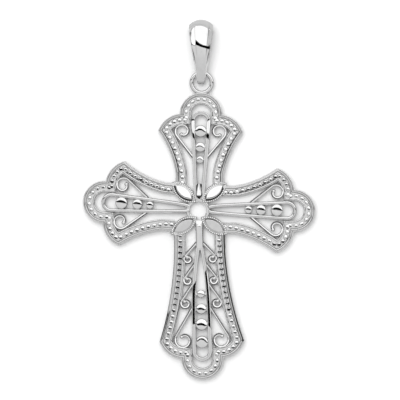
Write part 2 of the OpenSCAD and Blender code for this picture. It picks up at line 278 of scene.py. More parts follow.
class Arm:
    """One arm in its own plane: x runs across it and y outwards along it."""

    def __init__(self, name, settings):
        sizes = settings.cross
        self.name = name
        self.turn, self.long = ARMS[name]
        self.sizes = sizes
        self.centre = crossing(settings)
        self.reach = sizes.long_reach if self.long else sizes.short_reach
        self.flank_r = sizes.long_flank_r if self.long else sizes.short_flank_r
        root_w = sizes.long_root_w if self.long else sizes.short_root_w
        self.lobe = Vector((0, self.reach - sizes.lobe_r))
        self.notch = Vector((sizes.lobe_r, self.reach - sizes.lobe_r))
        corner = Vector((sizes.corner_half_w, self.reach - sizes.corner_drop))
        self.root = Vector((root_w, ROOT_U * MM))
        self.shoulder = arc_centre(self.notch, corner, sizes.shoulder_r, -1)
        self.flank = arc_centre(corner, self.root, self.flank_r, 1)

    def arcs(self, inset, valley=None):
        """Centre, start and end of the right half's three arcs, at a distance in from the edge.
        They end square to the outline at the notch, or meet at a point given."""
        sizes = self.sizes
        shoulder_r = sizes.shoulder_r - inset
        flank_r = self.flank_r + inset
        peak = meet(self.shoulder, shoulder_r, self.flank, flank_r, 1)
        end = self.flank + flank_r * (self.root - self.flank).normalized()
        lobe_end, shoulder_start = (
            valley or self.notch + inset * (centre - self.notch).normalized()
            for centre in (self.lobe, self.shoulder))
        return [(self.lobe, self.lobe + Vector((0, sizes.lobe_r - inset)), lobe_end),
                (self.shoulder, shoulder_start, peak), (self.flank, peak, end)]

    def valley(self, inset):
        """Where the rows beside the lobe and the shoulder meet, at a distance in from the edge."""
        return meet(self.lobe, self.sizes.lobe_r - inset,
                    self.shoulder, self.sizes.shoulder_r - inset, 1)

    def mitre(self, inset):
        """The corner of the border at the notch, at a distance in from the edge."""
        ways = [(centre - self.notch).normalized() for centre in (self.lobe, self.shoulder)]
        return self.notch + inset * (ways[0] + ways[1]) / (1 + ways[0].dot(ways[1]))

    def bar_path(self):
        """The right bar, from its round end in to the crossing."""
        points = [Vector((self.sizes.bar_end_r, self.reach - self.sizes.bar_end_drop))]
        return points + [Vector((half, along)) * MM for along, half in BAR_SPACING[self.long]]

    def bar_at(self, along):
        """Half the distance between the bars at a place along the arm."""
        return lookup(along, [(p.y, p.x) for p in self.bar_path()])

    def place(self, point, height):
        """A point of the arm's own plane, in the pendant's frame."""
        at = self.centre + turned(point, self.turn)
        return Vector((at.x, at.y, height))


def arms(settings, names=ARMS):
    """The arms of those names."""
    return [Arm(name, settings) for name in names]


def crossing(settings):
    """Where the arms cross, with the origin under the middle of the whole pendant."""
    sizes, bail = settings.cross, settings.bail

    def extent(name, square):
        turn, long = ARMS[name]
        reach = sizes.long_reach if long else sizes.short_reach
        return (reach - sizes.lobe_r) * math.cos(math.radians(turn - square)) + sizes.lobe_r

    return Vector(((extent("left", 90) - extent("right", -90)) / 2,
                   (extent("foot", 180) - hinge_at(settings) - bail.crown_rise) / 2))


def hinge_at(settings):
    """Distance from the crossing to the bail's hinge line, lengthwise."""
    reach = settings.cross.short_reach + settings.bail.ring_gap
    return reach * math.cos(math.radians(HEAD_TURN)) + settings.bail.ring_r


# Meshes


def both_sides(right, *middle):
    """A whole section from its right side, foot first, and the points in the middle of its top."""
    left = [(-across, height) for across, height in right]
    return left[:1] + right + list(middle) + left[:0:-1]


class Shape:
    """Vertices and faces of a piece that is being made from lofted rings."""

    def __init__(self):
        self.points = []
        self.faces = []
        self.marks = {}

    def loft(self, rings, joined=False, marks=None):
        """Joins closed rings of equally many points; joined also joins the last to the first."""
        first, count = len(self.points), len(rings[0])
        for ring in rings:
            self.points.extend(ring)
        for name, values in (marks or {}).items():
            self.marks.setdefault(name, {}).update(
                {first + r * count + i: values(r, i) for r in range(len(rings)) for i in range(count)})
        last = len(rings) if joined else len(rings) - 1
        for r in range(last):
            here, there = first + r * count, first + (r + 1) % len(rings) * count
            for i in range(count):
                j = (i + 1) % count
                self.faces.append((here + i, here + j, there + j, there + i))
        if not joined:
            self.faces.append(tuple(range(first + count - 1, first - 1, -1)))
            start = first + (len(rings) - 1) * count
            self.faces.append(tuple(range(start, start + count)))

    def make(self, name, material, crease=35):
        """The finished object, with outward faces and creases sharper than an angle in degrees."""
        mesh = bpy.data.meshes.new(name)
        mesh.from_pydata(self.points, [], self.faces)
        for mark, values in self.marks.items():
            layer = mesh.attributes.new(mark, "FLOAT", "POINT")
            layer.data.foreach_set("value", [values.get(i, 0.0) for i in range(len(self.points))])
        mesh.materials.append(material)
        outward(mesh)
        mesh.shade_smooth()
        mesh.set_sharp_from_angle(angle=math.radians(crease))
        return show(name, mesh)


def outward(mesh):
    """Turns the faces of a mesh outwards."""
    work = bmesh.new()
    work.from_mesh(mesh)
    bmesh.ops.recalc_face_normals(work, faces=work.faces)
    work.to_mesh(mesh)
    work.free()


def show(name, mesh):
    """A new object in the scene."""
    piece = bpy.data.objects.new(name, mesh)
    bpy.context.scene.collection.objects.link(piece)
    return piece


def settle(piece, body, node):
    """Puts a finished piece under the body that it moves with, and hides the model's part that it stands
    for.
    """
    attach(piece, body)
    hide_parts(node)


# Node trees


class Wire:
    """An output of a node, with Python operators that add Math nodes."""

    def __init__(self, graph, socket):
        self.graph = graph
        self.socket = socket

    def maths(self, operation, *terms):
        """What a Math node makes of its terms."""
        return self.graph.add("ShaderNodeMath", dict(enumerate(terms)), operation=operation)[0]

    def __add__(self, other):
        return self.maths("ADD", self, other)

    def __radd__(self, other):
        return self.maths("ADD", other, self)

    def __sub__(self, other):
        return self.maths("SUBTRACT", self, other)

    def __rsub__(self, other):
        return self.maths("SUBTRACT", other, self)

    def __mul__(self, other):
        return self.maths("MULTIPLY", self, other)

    def __rmul__(self, other):
        return self.maths("MULTIPLY", other, self)

    def __truediv__(self, other):
        return self.maths("DIVIDE", self, other)

    def least(self, low):
        """This value, but no lower than low."""
        return self.maths("MAXIMUM", self, low)

    def size(self):
        """This value without its sign."""
        return self.maths("ABSOLUTE", self)

    def kept(self):
        """This value, kept from 0 to 1."""
        return self.graph.add("ShaderNodeClamp", {0: self})[0]

    def between(self, low, high):
        """0 below low, 1 above high and a smooth rise between them."""
        return self.graph.add("ShaderNodeMapRange", {0: self, 1: low, 2: high},
                              interpolation_type="SMOOTHSTEP")[0]


class Made:
    """A node that has been added, whose outputs are read by name or number."""

    def __init__(self, graph, node):
        self.graph = graph
        self.node = node

    def __getitem__(self, key):
        return Wire(self.graph, self.node.outputs[key])


class Graph:
    """A node tree that is being built."""

    def __init__(self, tree):
        self.tree = tree
        tree.nodes.clear()

    def add(self, kind, inputs=None, stops=None, **settings):
        """Adds a node: its settings and a ramp's stops first, then the values or links of its inputs."""
        node = self.tree.nodes.new(kind)
        for name, value in settings.items():
            setattr(node, name, value)
        if stops:
            ramp = node.color_ramp.elements
            for _ in range(len(stops) - len(ramp)):
                ramp.new(1.0)
            for element, (place, value) in zip(ramp, stops):
                element.position = place
                element.color = (value, value, value, 1.0)
        for key, value in (inputs or {}).items():
            for term in value if isinstance(value, list) else [value]:
                if isinstance(term, Wire):
                    self.tree.links.new(term.socket, node.inputs[key])
                else:
                    node.inputs[key].default_value = term
        return Made(self, node)


def growth(name, inputs):
    """A Geometry Nodes tree with named inputs. Gives its graph and the wires of its inputs."""
    tree = bpy.data.node_groups.new(name, "GeometryNodeTree")
    face = tree.interface
    face.new_socket("Geometry", in_out="OUTPUT", socket_type="NodeSocketGeometry")
    face.new_socket("Geometry", in_out="INPUT", socket_type="NodeSocketGeometry")
    for title, kind in inputs:
        face.new_socket(title, in_out="INPUT", socket_type="NodeSocket" + kind)
    graph = Graph(tree)
    source = graph.add("NodeGroupInput")
    return graph, source


def close(graph, geometry, material):
    """Ends a Geometry Nodes tree: real geometry with its material."""
    real = graph.add("GeometryNodeRealizeInstances", {0: geometry})[0]
    smooth = graph.add("GeometryNodeSetShadeSmooth", {0: real})[0]
    painted = graph.add("GeometryNodeSetMaterial", {"Geometry": smooth, "Material": material})[0]
    graph.add("NodeGroupOutput", {"Geometry": painted})
    return graph.tree


def grow(piece, tree, values):
    """Runs a Geometry Nodes tree on an object and turns the result into its plain mesh."""
    name = piece.name
    modifier = piece.modifiers.new("Growth", "NODES")
    modifier.node_group = tree
    for item in tree.interface.items_tree:
        if item.in_out == "INPUT" and item.name in values:
            modifier[item.identifier] = values[item.name]
    bpy.context.view_layer.update()
    evaluated = piece.evaluated_get(bpy.context.evaluated_depsgraph_get())
    mesh = bpy.data.meshes.new_from_object(evaluated)
    piece.modifiers.clear()
    piece.data = mesh
    mesh.name = name
    outward(mesh)
    mesh.set_sharp_from_angle(angle=math.radians(50))
    return piece


def seeds(name, points, **marks):
    """An object of loose points with number attributes, for a tree to place things on."""
    mesh = bpy.data.meshes.new(name)
    mesh.from_pydata(points, [], [])
    for mark, values in marks.items():
        layer = mesh.attributes.new(mark, "FLOAT_VECTOR", "POINT")
        layer.data.foreach_set("vector", [c for v in values for c in v])
    return show(name, mesh)


def lines(name, paths):
    """An object of open lines, for a tree to sweep wire along."""
    mesh = bpy.data.meshes.new(name)
    points, edges = [], []
    for path in paths:
        edges += [(len(points) + i, len(points) + i + 1) for i in range(len(path) - 1)]
        points += path
    mesh.from_pydata(points, edges, [])
    return show(name, mesh)


# Materials


# Scales of the silver's cloudy and fine noise, how sharp the clouds are, their darkest and
# lightest tone and how much rougher they are
CLOUD_SCALE, FINE_SCALE = 900.0, 4200.0
CLOUD_EDGE, CLOUD_TONES, CLOUD_ROUGHNESS = (0.35, 0.65), (0.95, 1.0), 0.02
# Scale of the brushed lines along a petal, and how many times closer they are across it
BRUSH_SCALE, BRUSH_CLOSER = 3.0, 26.0
# How far up a surface faces, as a share: below the first, painted shade on its side is full, and above
# the second it is gone
STEEP = (0.4, 0.75)
# How much painted shade darkens the ring's and the scrolls' steep sides
RING_SHADE, SCROLL_SIDE = 0.7, 0.3


def silver(name, colour, recess, roughness, grain, side_shade=0.0, bow=None, brushed=False):
    """Polished silver with fine grain. It has painted shade and painted dark reflections where its
    recess mark lies, and painted shade on steep sides. A bow is a function of a place across,
    along and up that gives how steeply surfaces lean to the bail there."""
    material = bpy.data.materials.new(name)
    material.use_nodes = True
    graph = Graph(material.node_tree)
    place = graph.add("ShaderNodeTexCoord")["Object"]
    normal = graph.add("ShaderNodeNewGeometry")["Normal"]
    cloud = graph.add("ShaderNodeTexNoise", {"Vector": place, "Scale": CLOUD_SCALE,
                                             "Detail": 3.0})["Fac"]
    height = graph.add("ShaderNodeTexNoise", {"Vector": place, "Scale": FINE_SCALE,
                                              "Detail": 2.0})["Fac"]
    darkest, lightest = CLOUD_TONES
    tone = graph.add("ShaderNodeMix", {"Factor": cloud.between(*CLOUD_EDGE), "A": darkest,
                                       "B": lightest})["Result"]
    # Painted shade in grooves and painted dark reflections, as marked on each piece's points
    shade = graph.add("ShaderNodeAttribute", attribute_name="recess")["Fac"]
    # Painted shade: steep sides get darker the further they face away from up
    if side_shade:
        facing = graph.add("ShaderNodeSeparateXYZ", {0: normal})["Z"]
        shade = shade.maths("MAXIMUM", shade, (1.0 - facing.between(*STEEP)) * side_shade)
    base = graph.add("ShaderNodeMix", {6: tuple(colour), 7: tuple(recess), 0: shade},
                     data_type="RGBA")[2]
    base = graph.add("ShaderNodeMix", {0: 1.0, 6: base, 7: tone}, data_type="RGBA",
                     blend_type="MULTIPLY")[2]
    if brushed:
        across = graph.add("ShaderNodeMapping", {"Vector": graph.add("ShaderNodeUVMap")[0],
                                                 "Scale": (1.0, BRUSH_CLOSER, 1.0)})[0]
        height = graph.add("ShaderNodeTexNoise", {"Vector": across, "Scale": BRUSH_SCALE,
                                                  "Detail": 2.0})["Fac"]
    bump_inputs = {"Height": height, "Distance": grain, "Strength": 1.0}
    if bow:
        at = graph.add("ShaderNodeSeparateXYZ", {0: place})
        push = graph.add("ShaderNodeCombineXYZ", {"Y": bow(at["X"], at["Y"], at["Z"])})[0]
        lean = graph.add("ShaderNodeVectorMath", {0: normal, 1: push}, operation="ADD")[0]
        bump_inputs["Normal"] = graph.add("ShaderNodeVectorMath", {0: lean},
                                          operation="NORMALIZE")[0]
    bump = graph.add("ShaderNodeBump", bump_inputs)[0]
    shader = graph.add("ShaderNodeBsdfPrincipled", {
        "Base Color": base, "Metallic": 1.0, "Roughness": roughness + CLOUD_ROUGHNESS * cloud,
        "Normal": bump})[0]
    graph.add("ShaderNodeOutputMaterial", {"Surface": shader})
    return material


# The foot's bow: from and to at its lower end, which lies lower beside the middle by a share of the
# distance from it, and from and to at its upper end, which lies higher towards the right by another
FOOT_LOW, FOOT_LOW_SIDE = (-19.9 * MM, -19.3 * MM), 0.5
FOOT_HIGH, FOOT_HIGH_SIDE = (-13.0 * MM, -11.8 * MM), 1.1
# The head's bow: from and to along its bars, where it ends past them and where it fades beside them
HEAD_BOW, HEAD_BOW_END = (9.2 * MM, 11.7 * MM), (12.2 * MM, 13.2 * MM)
HEAD_BOW_SIDE = (2.2 * MM, 3.4 * MM)
# Above which height surfaces bow, from and to
BOW_HEIGHT = (1.1 * MM, 1.2 * MM)
# Where what is particular to the foot ends below the crossing, from and to
FOOT_TOP = (-7.5 * MM, -6.0 * MM)


def cross_bow(look):
    """How the cross's surfaces lean: steadily on the foot, and more and more up the head's bars."""
    def slope(across, along, up):
        aside = across.size()
        low = (along + aside * FOOT_LOW_SIDE).between(*FOOT_LOW)
        high = (along - across * FOOT_HIGH_SIDE).between(*FOOT_HIGH)
        foot = low * (1.0 - high) * (1.0 - along.between(*FOOT_TOP))
        start, end = HEAD_BOW
        head = ((along - start) / (end - start)).kept() * (1.0 - along.between(*HEAD_BOW_END))
        head = head * (1.0 - aside.between(*HEAD_BOW_SIDE))
        both = foot * math.tan(look.foot_bow) + head * math.tan(look.head_bow)
        return both * up.between(*BOW_HEIGHT)
    return slope


# How steeply beads lean at the crossing, and how much less for each metre towards the bail
BEAD_LEAN, BEAD_FALL = 0.132, 1.3
# How much less they lean on the foot's flanks, and where that starts, from and to
FOOT_LESS, FOOT_START = 0.042, (-18.5 * MM, -17.0 * MM)
# The same on the side arms' upper flanks, with where it ends and how far aside it starts
UPPER_LESS, UPPER_START = 0.024, (0.5 * MM, 2.5 * MM)
UPPER_END, UPPER_ASIDE = (6.2 * MM, 7 * MM), (5.5 * MM, 6.5 * MM)


def bead_bow(across, along, up):
    """How beads lean towards the bail: a little less on the foot and on the upper flanks of the
    side arms."""
    upper = along.between(*UPPER_START) * (1.0 - along.between(*UPPER_END))
    upper = upper * across.size().between(*UPPER_ASIDE)
    foot = along.between(*FOOT_START) * (1.0 - along.between(*FOOT_TOP))
    return BEAD_LEAN - along * BEAD_FALL - foot * FOOT_LESS - upper * UPPER_LESS


# How steeply the scrolls and the petals' grains lean towards the bail
SCROLL_LEAN, GRAIN_LEAN = 0.17, 0.3


def scroll_bow(across, along, up):
    """How the scrolls lean towards the bail: the same everywhere."""
    return SCROLL_LEAN


def grain_bow(across, along, up):
    """How the petals' grains lean towards the bail: the same everywhere."""
    return GRAIN_LEAN


# The bail's lean all over
BAIL_LEAN = 0.011
# Its left bevel: across, along from and to, and how much it leans
LEFT_BEVEL, LEFT_BEVEL_TOP, LEFT_LEAN = (-0.98 * MM, -0.88 * MM), (24.3 * MM, 24.7 * MM), 0.2
# Its right bevel falls away upwards: across, along where that starts, and how much for each metre
RIGHT_BEVEL, RIGHT_FROM, RIGHT_FALL = (1.13 * MM, 1.23 * MM), 24.0 * MM, 1 / (7 * MM)
# Its crown's border: along, how much it leans, how round its lower edge is for each metre, and how
# far aside of the bail's middle that edge is lowest
BAIL_TOP, TOP_LEAN, TOP_ROUND, TOP_MIDDLE = (27.6 * MM, 27.9 * MM), 0.8, 250, -0.3 * MM
# Where its front is flatter, from and to, and by how much
BAND, BAND_FLAT = (24.5 * MM, 25.7 * MM), 0.065


def bail_bow(look):
    """How the bail's face leans: more towards its right side, and otherwise on its bevels."""
    def slope(across, along, up):
        aside = across - BAIL_X
        left = (1.0 - aside.between(*LEFT_BEVEL)) * along.between(*LEFT_BEVEL_TOP) * LEFT_LEAN
        right = aside.between(*RIGHT_BEVEL) * (along - RIGHT_FROM).least(0.0) * RIGHT_FALL
        from_middle = aside - TOP_MIDDLE
        top = (along + from_middle * from_middle * TOP_ROUND).between(*BAIL_TOP) * TOP_LEAN
        flat = (0.5 - along.between(*BAND)) * BAND_FLAT
        return aside * (look.bail_skew / MM) + BAIL_LEAN + left - right + top + flat
    return slope


def finishes(settings):
    """The finishes of the silver by name, each made once."""
    look = settings.silver
    cast = dict(colour=look.cast_colour, roughness=look.cast_roughness)
    bail = dict(colour=look.bail_colour, roughness=look.bail_roughness)
    # Strength of the painted shade on steep sides
    darkened = look.side_shade
    made = {
        "polished_wire": dict(cast, side_shade=darkened, bow=cross_bow(look)),
        "polished_beads": dict(cast, side_shade=darkened, bow=bead_bow),
        "polished_scrolls": dict(cast, side_shade=SCROLL_SIDE, bow=scroll_bow),
        "polished_grains": dict(cast, side_shade=darkened, bow=grain_bow),
        "polished_ring": dict(cast, side_shade=RING_SHADE),
        "polished_domes": dict(cast, side_shade=darkened),
        "brushed_petals": dict(cast, brushed=True),
        "polished_bail": dict(bail, bow=bail_bow(look)),
    }
    for name, values in made.items():
        if name not in bpy.data.materials:
            silver(name, recess=look.painted_shade_colour, grain=look.grain_height, **values)
    return bpy.data.materials


# Pieces of the cross

# Steps round an arm's lobe, shoulder and flank, and from there in to under the petals
LOBE_STEPS, SHOULDER_STEPS, FLANK_STEPS, ROOT_STEPS = 22, 12, 22, 3


def rounder(at):
    """A side or height of a unit circle, pushed out a little towards a square."""
    return math.copysign(abs(at) ** 0.5, at) if abs(at) > 1e-9 else 0.0


# Zones of the border's cross-section that can carry painted shade or painted dark reflections
OUTSIDE, SHOULDER, CREST, INSIDE, WIRE_GROOVE, FLOOR, BEAD_BED, INNER_BED, EDGE_GROOVE = (
    "outside", "shoulder", "crest", "inside", "wire groove", "floor", "bead bed", "inner bed",
    "edge groove")
# How much painted shade or painted dark reflection each zone has everywhere, and on the hollow flanks of
# some arms
GROOVE_SHADES = {CREST: 0.5, WIRE_GROOVE: 0.15, EDGE_GROOVE: 0.15}
FLANK_SHADES = {"head": {WIRE_GROOVE: 0.7}, "upper": {CREST: 0.1, INNER_BED: 0.85},
                "foot right": {SHOULDER: 1.0, CREST: 1.0, WIRE_GROOVE: 0.5, BEAD_BED: 0.3},
                "foot left": {OUTSIDE: 0.95, SHOULDER: 0.25, CREST: 0.25, BEAD_BED: 0.35,
                              INNER_BED: 0.35}}
# Turns in degrees up the wire's outer side, from its edge to beside its crest
WIRE_TURNS = [180, 162, 144, 126, 108]
# Groove along the wire's crest: distance from the middle and depth
CREST_DIP = [(-0.05, 0.01), (0.0, 0.035), (0.05, 0.01)]
# How far the border's edges are rounded, and where the groove beside the wire starts
BORDER_SOFT, GROOVE_START = 0.06 * MM, 0.01 * MM
# The beads' bed: half its width, and zones at places across it in shares of that
BED_HALF_W = 0.15 * MM
BED = [(-1.3, FLOOR), (-1.0, BEAD_BED), (0.4, BEAD_BED), (0.6, INNER_BED), (2.4, INNER_BED),
       (2.7, FLOOR)]


def border_profile(sizes):
    """Cross-section of the border: distance in from the outside edge, height, zone."""
    wire, soft = sizes.rim_w / 2, BORDER_SOFT
    crest = sizes.rim_h - wire

    def side(turns, zones):
        return [(wire * (1 + rounder(math.cos(a))), crest + wire * rounder(math.sin(a)), zone)
                for a, zone in zip(map(math.radians, turns), zones)]

    outer = side(WIRE_TURNS, [OUTSIDE] * 4 + [SHOULDER])
    inner_side = side([180 - a for a in WIRE_TURNS[::-1]], [INSIDE] * 5)
    dip = [(wire + x * MM, sizes.rim_h - drop * MM, CREST) for x, drop in CREST_DIP]
    floor, lip, foot, inner = sizes.floor_h, sizes.scroll_h, sizes.rim_w, sizes.border_w
    edge = inner - sizes.inner_edge_w
    return [(soft, 0.0, None), (0.0, soft, None), (0.0, crest - soft, OUTSIDE),
            *outer, *dip, *inner_side,
            (foot + GROOVE_START, floor + soft, WIRE_GROOVE),
            (foot + soft, floor - soft, WIRE_GROOVE), (foot + 3 * soft, floor, FLOOR),
            *((sizes.bead_inset + at * BED_HALF_W, floor, zone) for at, zone in BED),
            (edge - soft, floor, FLOOR), (edge - soft / 2, floor + soft / 2, EDGE_GROOVE),
            (edge + soft / 4, lip - soft, None), (edge + soft, lip, None),
            (inner - soft, lip, None), (inner, lip - soft, None), (inner, soft, None),
            (inner - soft, 0.0, None)]


def border_line(arm, inset):
    """Points along the right half of an arm at a distance in, from the tip to under the petals."""
    lobe, shoulder, flank = (arc(*ends, steps) for ends, steps in zip(
        arm.arcs(inset), (LOBE_STEPS, SHOULDER_STEPS, FLANK_STEPS)))
    points = lobe + [arm.mitre(inset)] + shoulder + flank[1:]
    end = points[-1]
    for i in range(1, ROOT_STEPS + 1):
        points.append(Vector((end.x, end.y + (BORDER_END_U * MM - end.y) * i / ROOT_STEPS)))
    return points


# How far the visible outline stays inside the solid's
EDGE_PULL = 0.01 * MM
# What an arm's two flanks are called, its own left one first
FLANKS = {"head": ("head", "head"), "right": ("upper", "lower"), "left": ("lower", "upper"),
          "foot": ("foot right", "foot left")}


def make_border(settings, material):
    """The four arms' borders: an outer wire, a floor for the beads and a thin inner edge."""
    profile = border_profile(settings.cross)
    shape = Shape()
    for arm in arms(settings):
        half = [border_line(arm, inset + EDGE_PULL) for inset, _, _ in profile]
        whole = [mirrored(line)[:0:-1] + line for line in half]
        rings = [[arm.place(line[i], height) for line, (_, height, _) in zip(whole, profile)]
                 for i in range(len(whole[0]))]
        left_end = FLANK_STEPS + ROOT_STEPS
        right_start = len(rings) - 1 - left_end
        left, right = FLANKS[arm.name]

        # Painted shade in the grooves and painted dark reflections along the wire and beads, by zone and
        # flank
        def shade(r, i):
            flank = left if r <= left_end else right if r >= right_start else None
            return {**GROOVE_SHADES, **FLANK_SHADES.get(flank, {})}.get(profile[i][2], 0.0)

        shape.loft(rings, marks={"recess": shade})
    return [shape.make("border", material, crease=50)]


def bead_rows(arm):
    """Bead centres along the right half of an arm, with the direction of the row in degrees."""
    sizes = arm.sizes
    arcs = arm.arcs(sizes.bead_inset, arm.valley(sizes.bead_inset))
    end = arm.root - Vector((sizes.bead_inset, sizes.bead_inset))
    centre, a, _ = arcs[2]
    arcs[2] = (centre, a, centre + (a - centre).length * (end - centre).normalized())
    beads = []
    for centre, a, b in arcs:
        start = bearing(a - centre)
        turn = turn_between(start, bearing(b - centre))
        radius = (a - centre).length
        count = round(radius * math.radians(abs(turn)) / sizes.bead_pitch)
        for i in range(count):
            at = start + turn * (i + 0.5) / count
            beads.append((centre + polar(radius, at), at + 90))
    last, way = beads[-1]
    beads.append((Vector((last.x, last.y - sizes.bead_pitch)), way))
    return beads


# A border bead's height, how far above the floor its middle is, and its fixed random seed
BEAD_H, BEAD_LIFT, BEAD_SEED = 0.7 * MM, 0.02 * MM, 4
# Its crown: how far above its middle it is pressed down, as a share of its height, and by what share
BEAD_CROWN, BEAD_PRESS = 0.35, 0.94
# How long, wide and high beads are on the lobes, on the foot's flanks and elsewhere
LOBE_BEAD, FOOT_BEAD, OTHER_BEAD = (1.12, 0.8, 1.0), (0.84, 1.0, 1.0), (1.06, 0.96, 1.0)
# The smallest and largest of the beads' uneven sizes: along, across and up
UNEVEN = (0.94, 0.9, 0.94), (1.05, 1.04, 1.03)


def bead_tree(material):
    """Half-sunk beads on points, nearly flat above a share of their height, turned along their
    row and a little uneven."""
    graph, source = growth("Bead rows", [("Diameter", "Float"), ("Height", "Float"),
                                         ("Crown", "Float"), ("Seed", "Int")])
    ball = graph.add("GeometryNodeMeshUVSphere", {"Segments": 10, "Rings": 8, "Radius": 0.5})[0]
    up = graph.add("ShaderNodeSeparateXYZ", {0: graph.add("GeometryNodeInputPosition")[0]})["Z"]
    sink = graph.add("ShaderNodeCombineXYZ", {2: (up - source["Crown"]).least(0.0) * -BEAD_PRESS})[0]
    ball = graph.add("GeometryNodeSetPosition", {"Geometry": ball, "Offset": sink})[0]
    turn = graph.add("GeometryNodeInputNamedAttribute", {"Name": "turn"},
                     data_type="FLOAT_VECTOR")[0]
    stretch = graph.add("GeometryNodeInputNamedAttribute", {"Name": "stretch"},
                        data_type="FLOAT_VECTOR")[0]
    smallest, largest = UNEVEN
    uneven = graph.add("FunctionNodeRandomValue", {0: smallest, 1: largest,
                                                   "Seed": source["Seed"]},
                       data_type="FLOAT_VECTOR")[0]
    size = graph.add("ShaderNodeCombineXYZ", {0: source["Diameter"], 1: source["Diameter"],
                                              2: source["Height"]})[0]
    size = graph.add("ShaderNodeVectorMath", {0: size, 1: uneven}, operation="MULTIPLY")[0]
    size = graph.add("ShaderNodeVectorMath", {0: size, 1: stretch}, operation="MULTIPLY")[0]
    beads = graph.add("GeometryNodeInstanceOnPoints", {"Points": source["Geometry"],
                                                       "Instance": ball, "Rotation": turn,
                                                       "Scale": size})[0]
    return close(graph, beads, material)


def make_border_beads(settings, material):
    """The rows of beads round all four arms."""
    sizes = settings.cross
    points, turns, stretches = [], [], []
    for arm in arms(settings):
        right = bead_rows(arm)
        left = [(Vector((-point.x, point.y)), 180 - turn) for point, turn in right]
        for point, turn in right + left:
            points.append(arm.place(point, sizes.floor_h + BEAD_LIFT))
            turns.append((0, 0, math.radians(turn + arm.turn)))
            on_lobe, on_flank = point.y > arm.lobe.y, point.y < arm.reach - sizes.corner_drop
            stretches.append(LOBE_BEAD if on_lobe else
                             FOOT_BEAD if arm.long and on_flank else OTHER_BEAD)
    piece = seeds("border_beads", points, turn=turns, stretch=stretches)
    return [grow(piece, bead_tree(material), {"Diameter": sizes.bead_d, "Height": BEAD_H,
                                              "Crown": BEAD_CROWN, "Seed": BEAD_SEED})]


# How far from its own middle the painted dark line along a wire's top, which stands for a reflection,
# begins to fade, and where it ends
LINE_EDGE = (0.03 * MM, 0.1 * MM)
# How far below the wire's top the middle of its ball is, as a share of the ball's diameter
BALL_SINK = 0.42


def wire_tree(material):
    """Round-topped wire swept along lines, with a ball on each line's end and a painted dark reflection
    as a line along its top. The side of the section below its own X axis comes out on top."""
    graph, source = growth("Wire", [("Width", "Float"), ("Height", "Float"), ("Round", "Float"),
                                    ("Ball", "Float"), ("Shade", "Float"), ("Line", "Float")])
    width, height, ball_d = source["Width"], source["Height"], source["Ball"]
    curve = graph.add("GeometryNodeMeshToCurve", {0: source["Geometry"]})[0]
    curve = graph.add("GeometryNodeSetCurveNormal", {0: curve}, mode="Z_UP")[0]
    section = graph.add("GeometryNodeCurvePrimitiveQuadrilateral", {"Width": width,
                                                                    "Height": height})[0]
    section = graph.add("GeometryNodeFilletCurve", {"Curve": section, "Count": 3,
                                                    "Radius": source["Round"]}, mode="POLY")[0]
    section = graph.add("GeometryNodeSubdivideCurve", {"Curve": section, "Cuts": 3})[0]
    at = graph.add("ShaderNodeSeparateXYZ", {0: graph.add("GeometryNodeInputPosition")[0]})
    # Painted dark reflection: a thin line along the section's upper side, stored on its points
    near = 1.0 - (at["X"] - source["Line"]).size().between(*LINE_EDGE)
    on_line = near * at["Y"].maths("LESS_THAN", at["Y"], 0.0)
    section = graph.add("GeometryNodeStoreNamedAttribute", {
        "Geometry": section, "Name": "recess", "Value": on_line * source["Shade"]})[0]
    wire = graph.add("GeometryNodeCurveToMesh", {"Curve": curve, "Profile Curve": section,
                                                 "Fill Caps": True})[0]
    lift = graph.add("ShaderNodeCombineXYZ", {2: height * 0.5})[0]
    wire = graph.add("GeometryNodeTransform", {"Geometry": wire, "Translation": lift})[0]
    ends = graph.add("GeometryNodeCurveEndpointSelection", {"Start Size": 0, "End Size": 1})[0]
    ball = graph.add("GeometryNodeMeshUVSphere", {"Segments": 20, "Rings": 12, "Radius": 0.5})[0]
    size = graph.add("ShaderNodeCombineXYZ", {0: ball_d, 1: ball_d, 2: ball_d})[0]
    balls = graph.add("GeometryNodeInstanceOnPoints", {"Points": curve, "Selection": ends,
                                                       "Instance": ball, "Scale": size})[0]
    rise = graph.add("ShaderNodeCombineXYZ", {2: height - ball_d * BALL_SINK})[0]
    balls = graph.add("GeometryNodeTransform", {"Geometry": balls, "Translation": rise})[0]
    both = graph.add("GeometryNodeJoinGeometry", {0: [wire, balls]})[0]
    return close(graph, both, material)


# How round the edges of the bars are, flat on top along the pendant and rounder on the side arms,
# and those of the scrolls
BARS = {"bars": (("head", "foot"), 0.12 * MM), "side_bars": (("right", "left"), 0.27 * MM)}
SCROLL_ROUND = 0.16 * MM
# How dark the painted dark reflection along the top of the bars and the scrolls is
BAR_SHADE, SCROLL_SHADE = 0.3, 1.0
# How far the scrolls' painted line lies from the middle of their top, towards the outside of their curl
SCROLL_LINE = 0.1 * MM
# Steps round the bars' outer end and round a scroll's curl, and how often a bar's bends are cut
BEND_STEPS, CURL_STEPS, SMOOTH_ROUNDS = 16, 26, 2


def make_bars(settings, material):
    """The pair of bars along each arm, joined round its outer end."""
    sizes, tree = settings.cross, wire_tree(material)
    pieces = []
    for title, (names, rounding) in BARS.items():
        paths = []
        for arm in arms(settings, names):
            right = arm.bar_path()
            end = Vector((0, right[0].y))
            bend = [end + polar(sizes.bar_end_r, 180 * i / BEND_STEPS) for i in range(1, BEND_STEPS)]
            path = smoothed(right[::-1]) + bend + smoothed(right[::-1], left=True)
            paths.append([arm.place(point, 0.0) for point in path])
        pieces.append(grow(lines(title, paths), tree, {
            "Width": sizes.bar_w, "Height": sizes.rim_h, "Round": rounding, "Ball": 0.0,
            "Shade": BAR_SHADE, "Line": 0.0}))
    return pieces


# The foot's stem: height of its underside, depth of the valley along its top, rounding of its edges
STEM_LOW, STEM_VALLEY, STEM_SOFT = 0.1 * MM, 0.12 * MM, 0.12 * MM


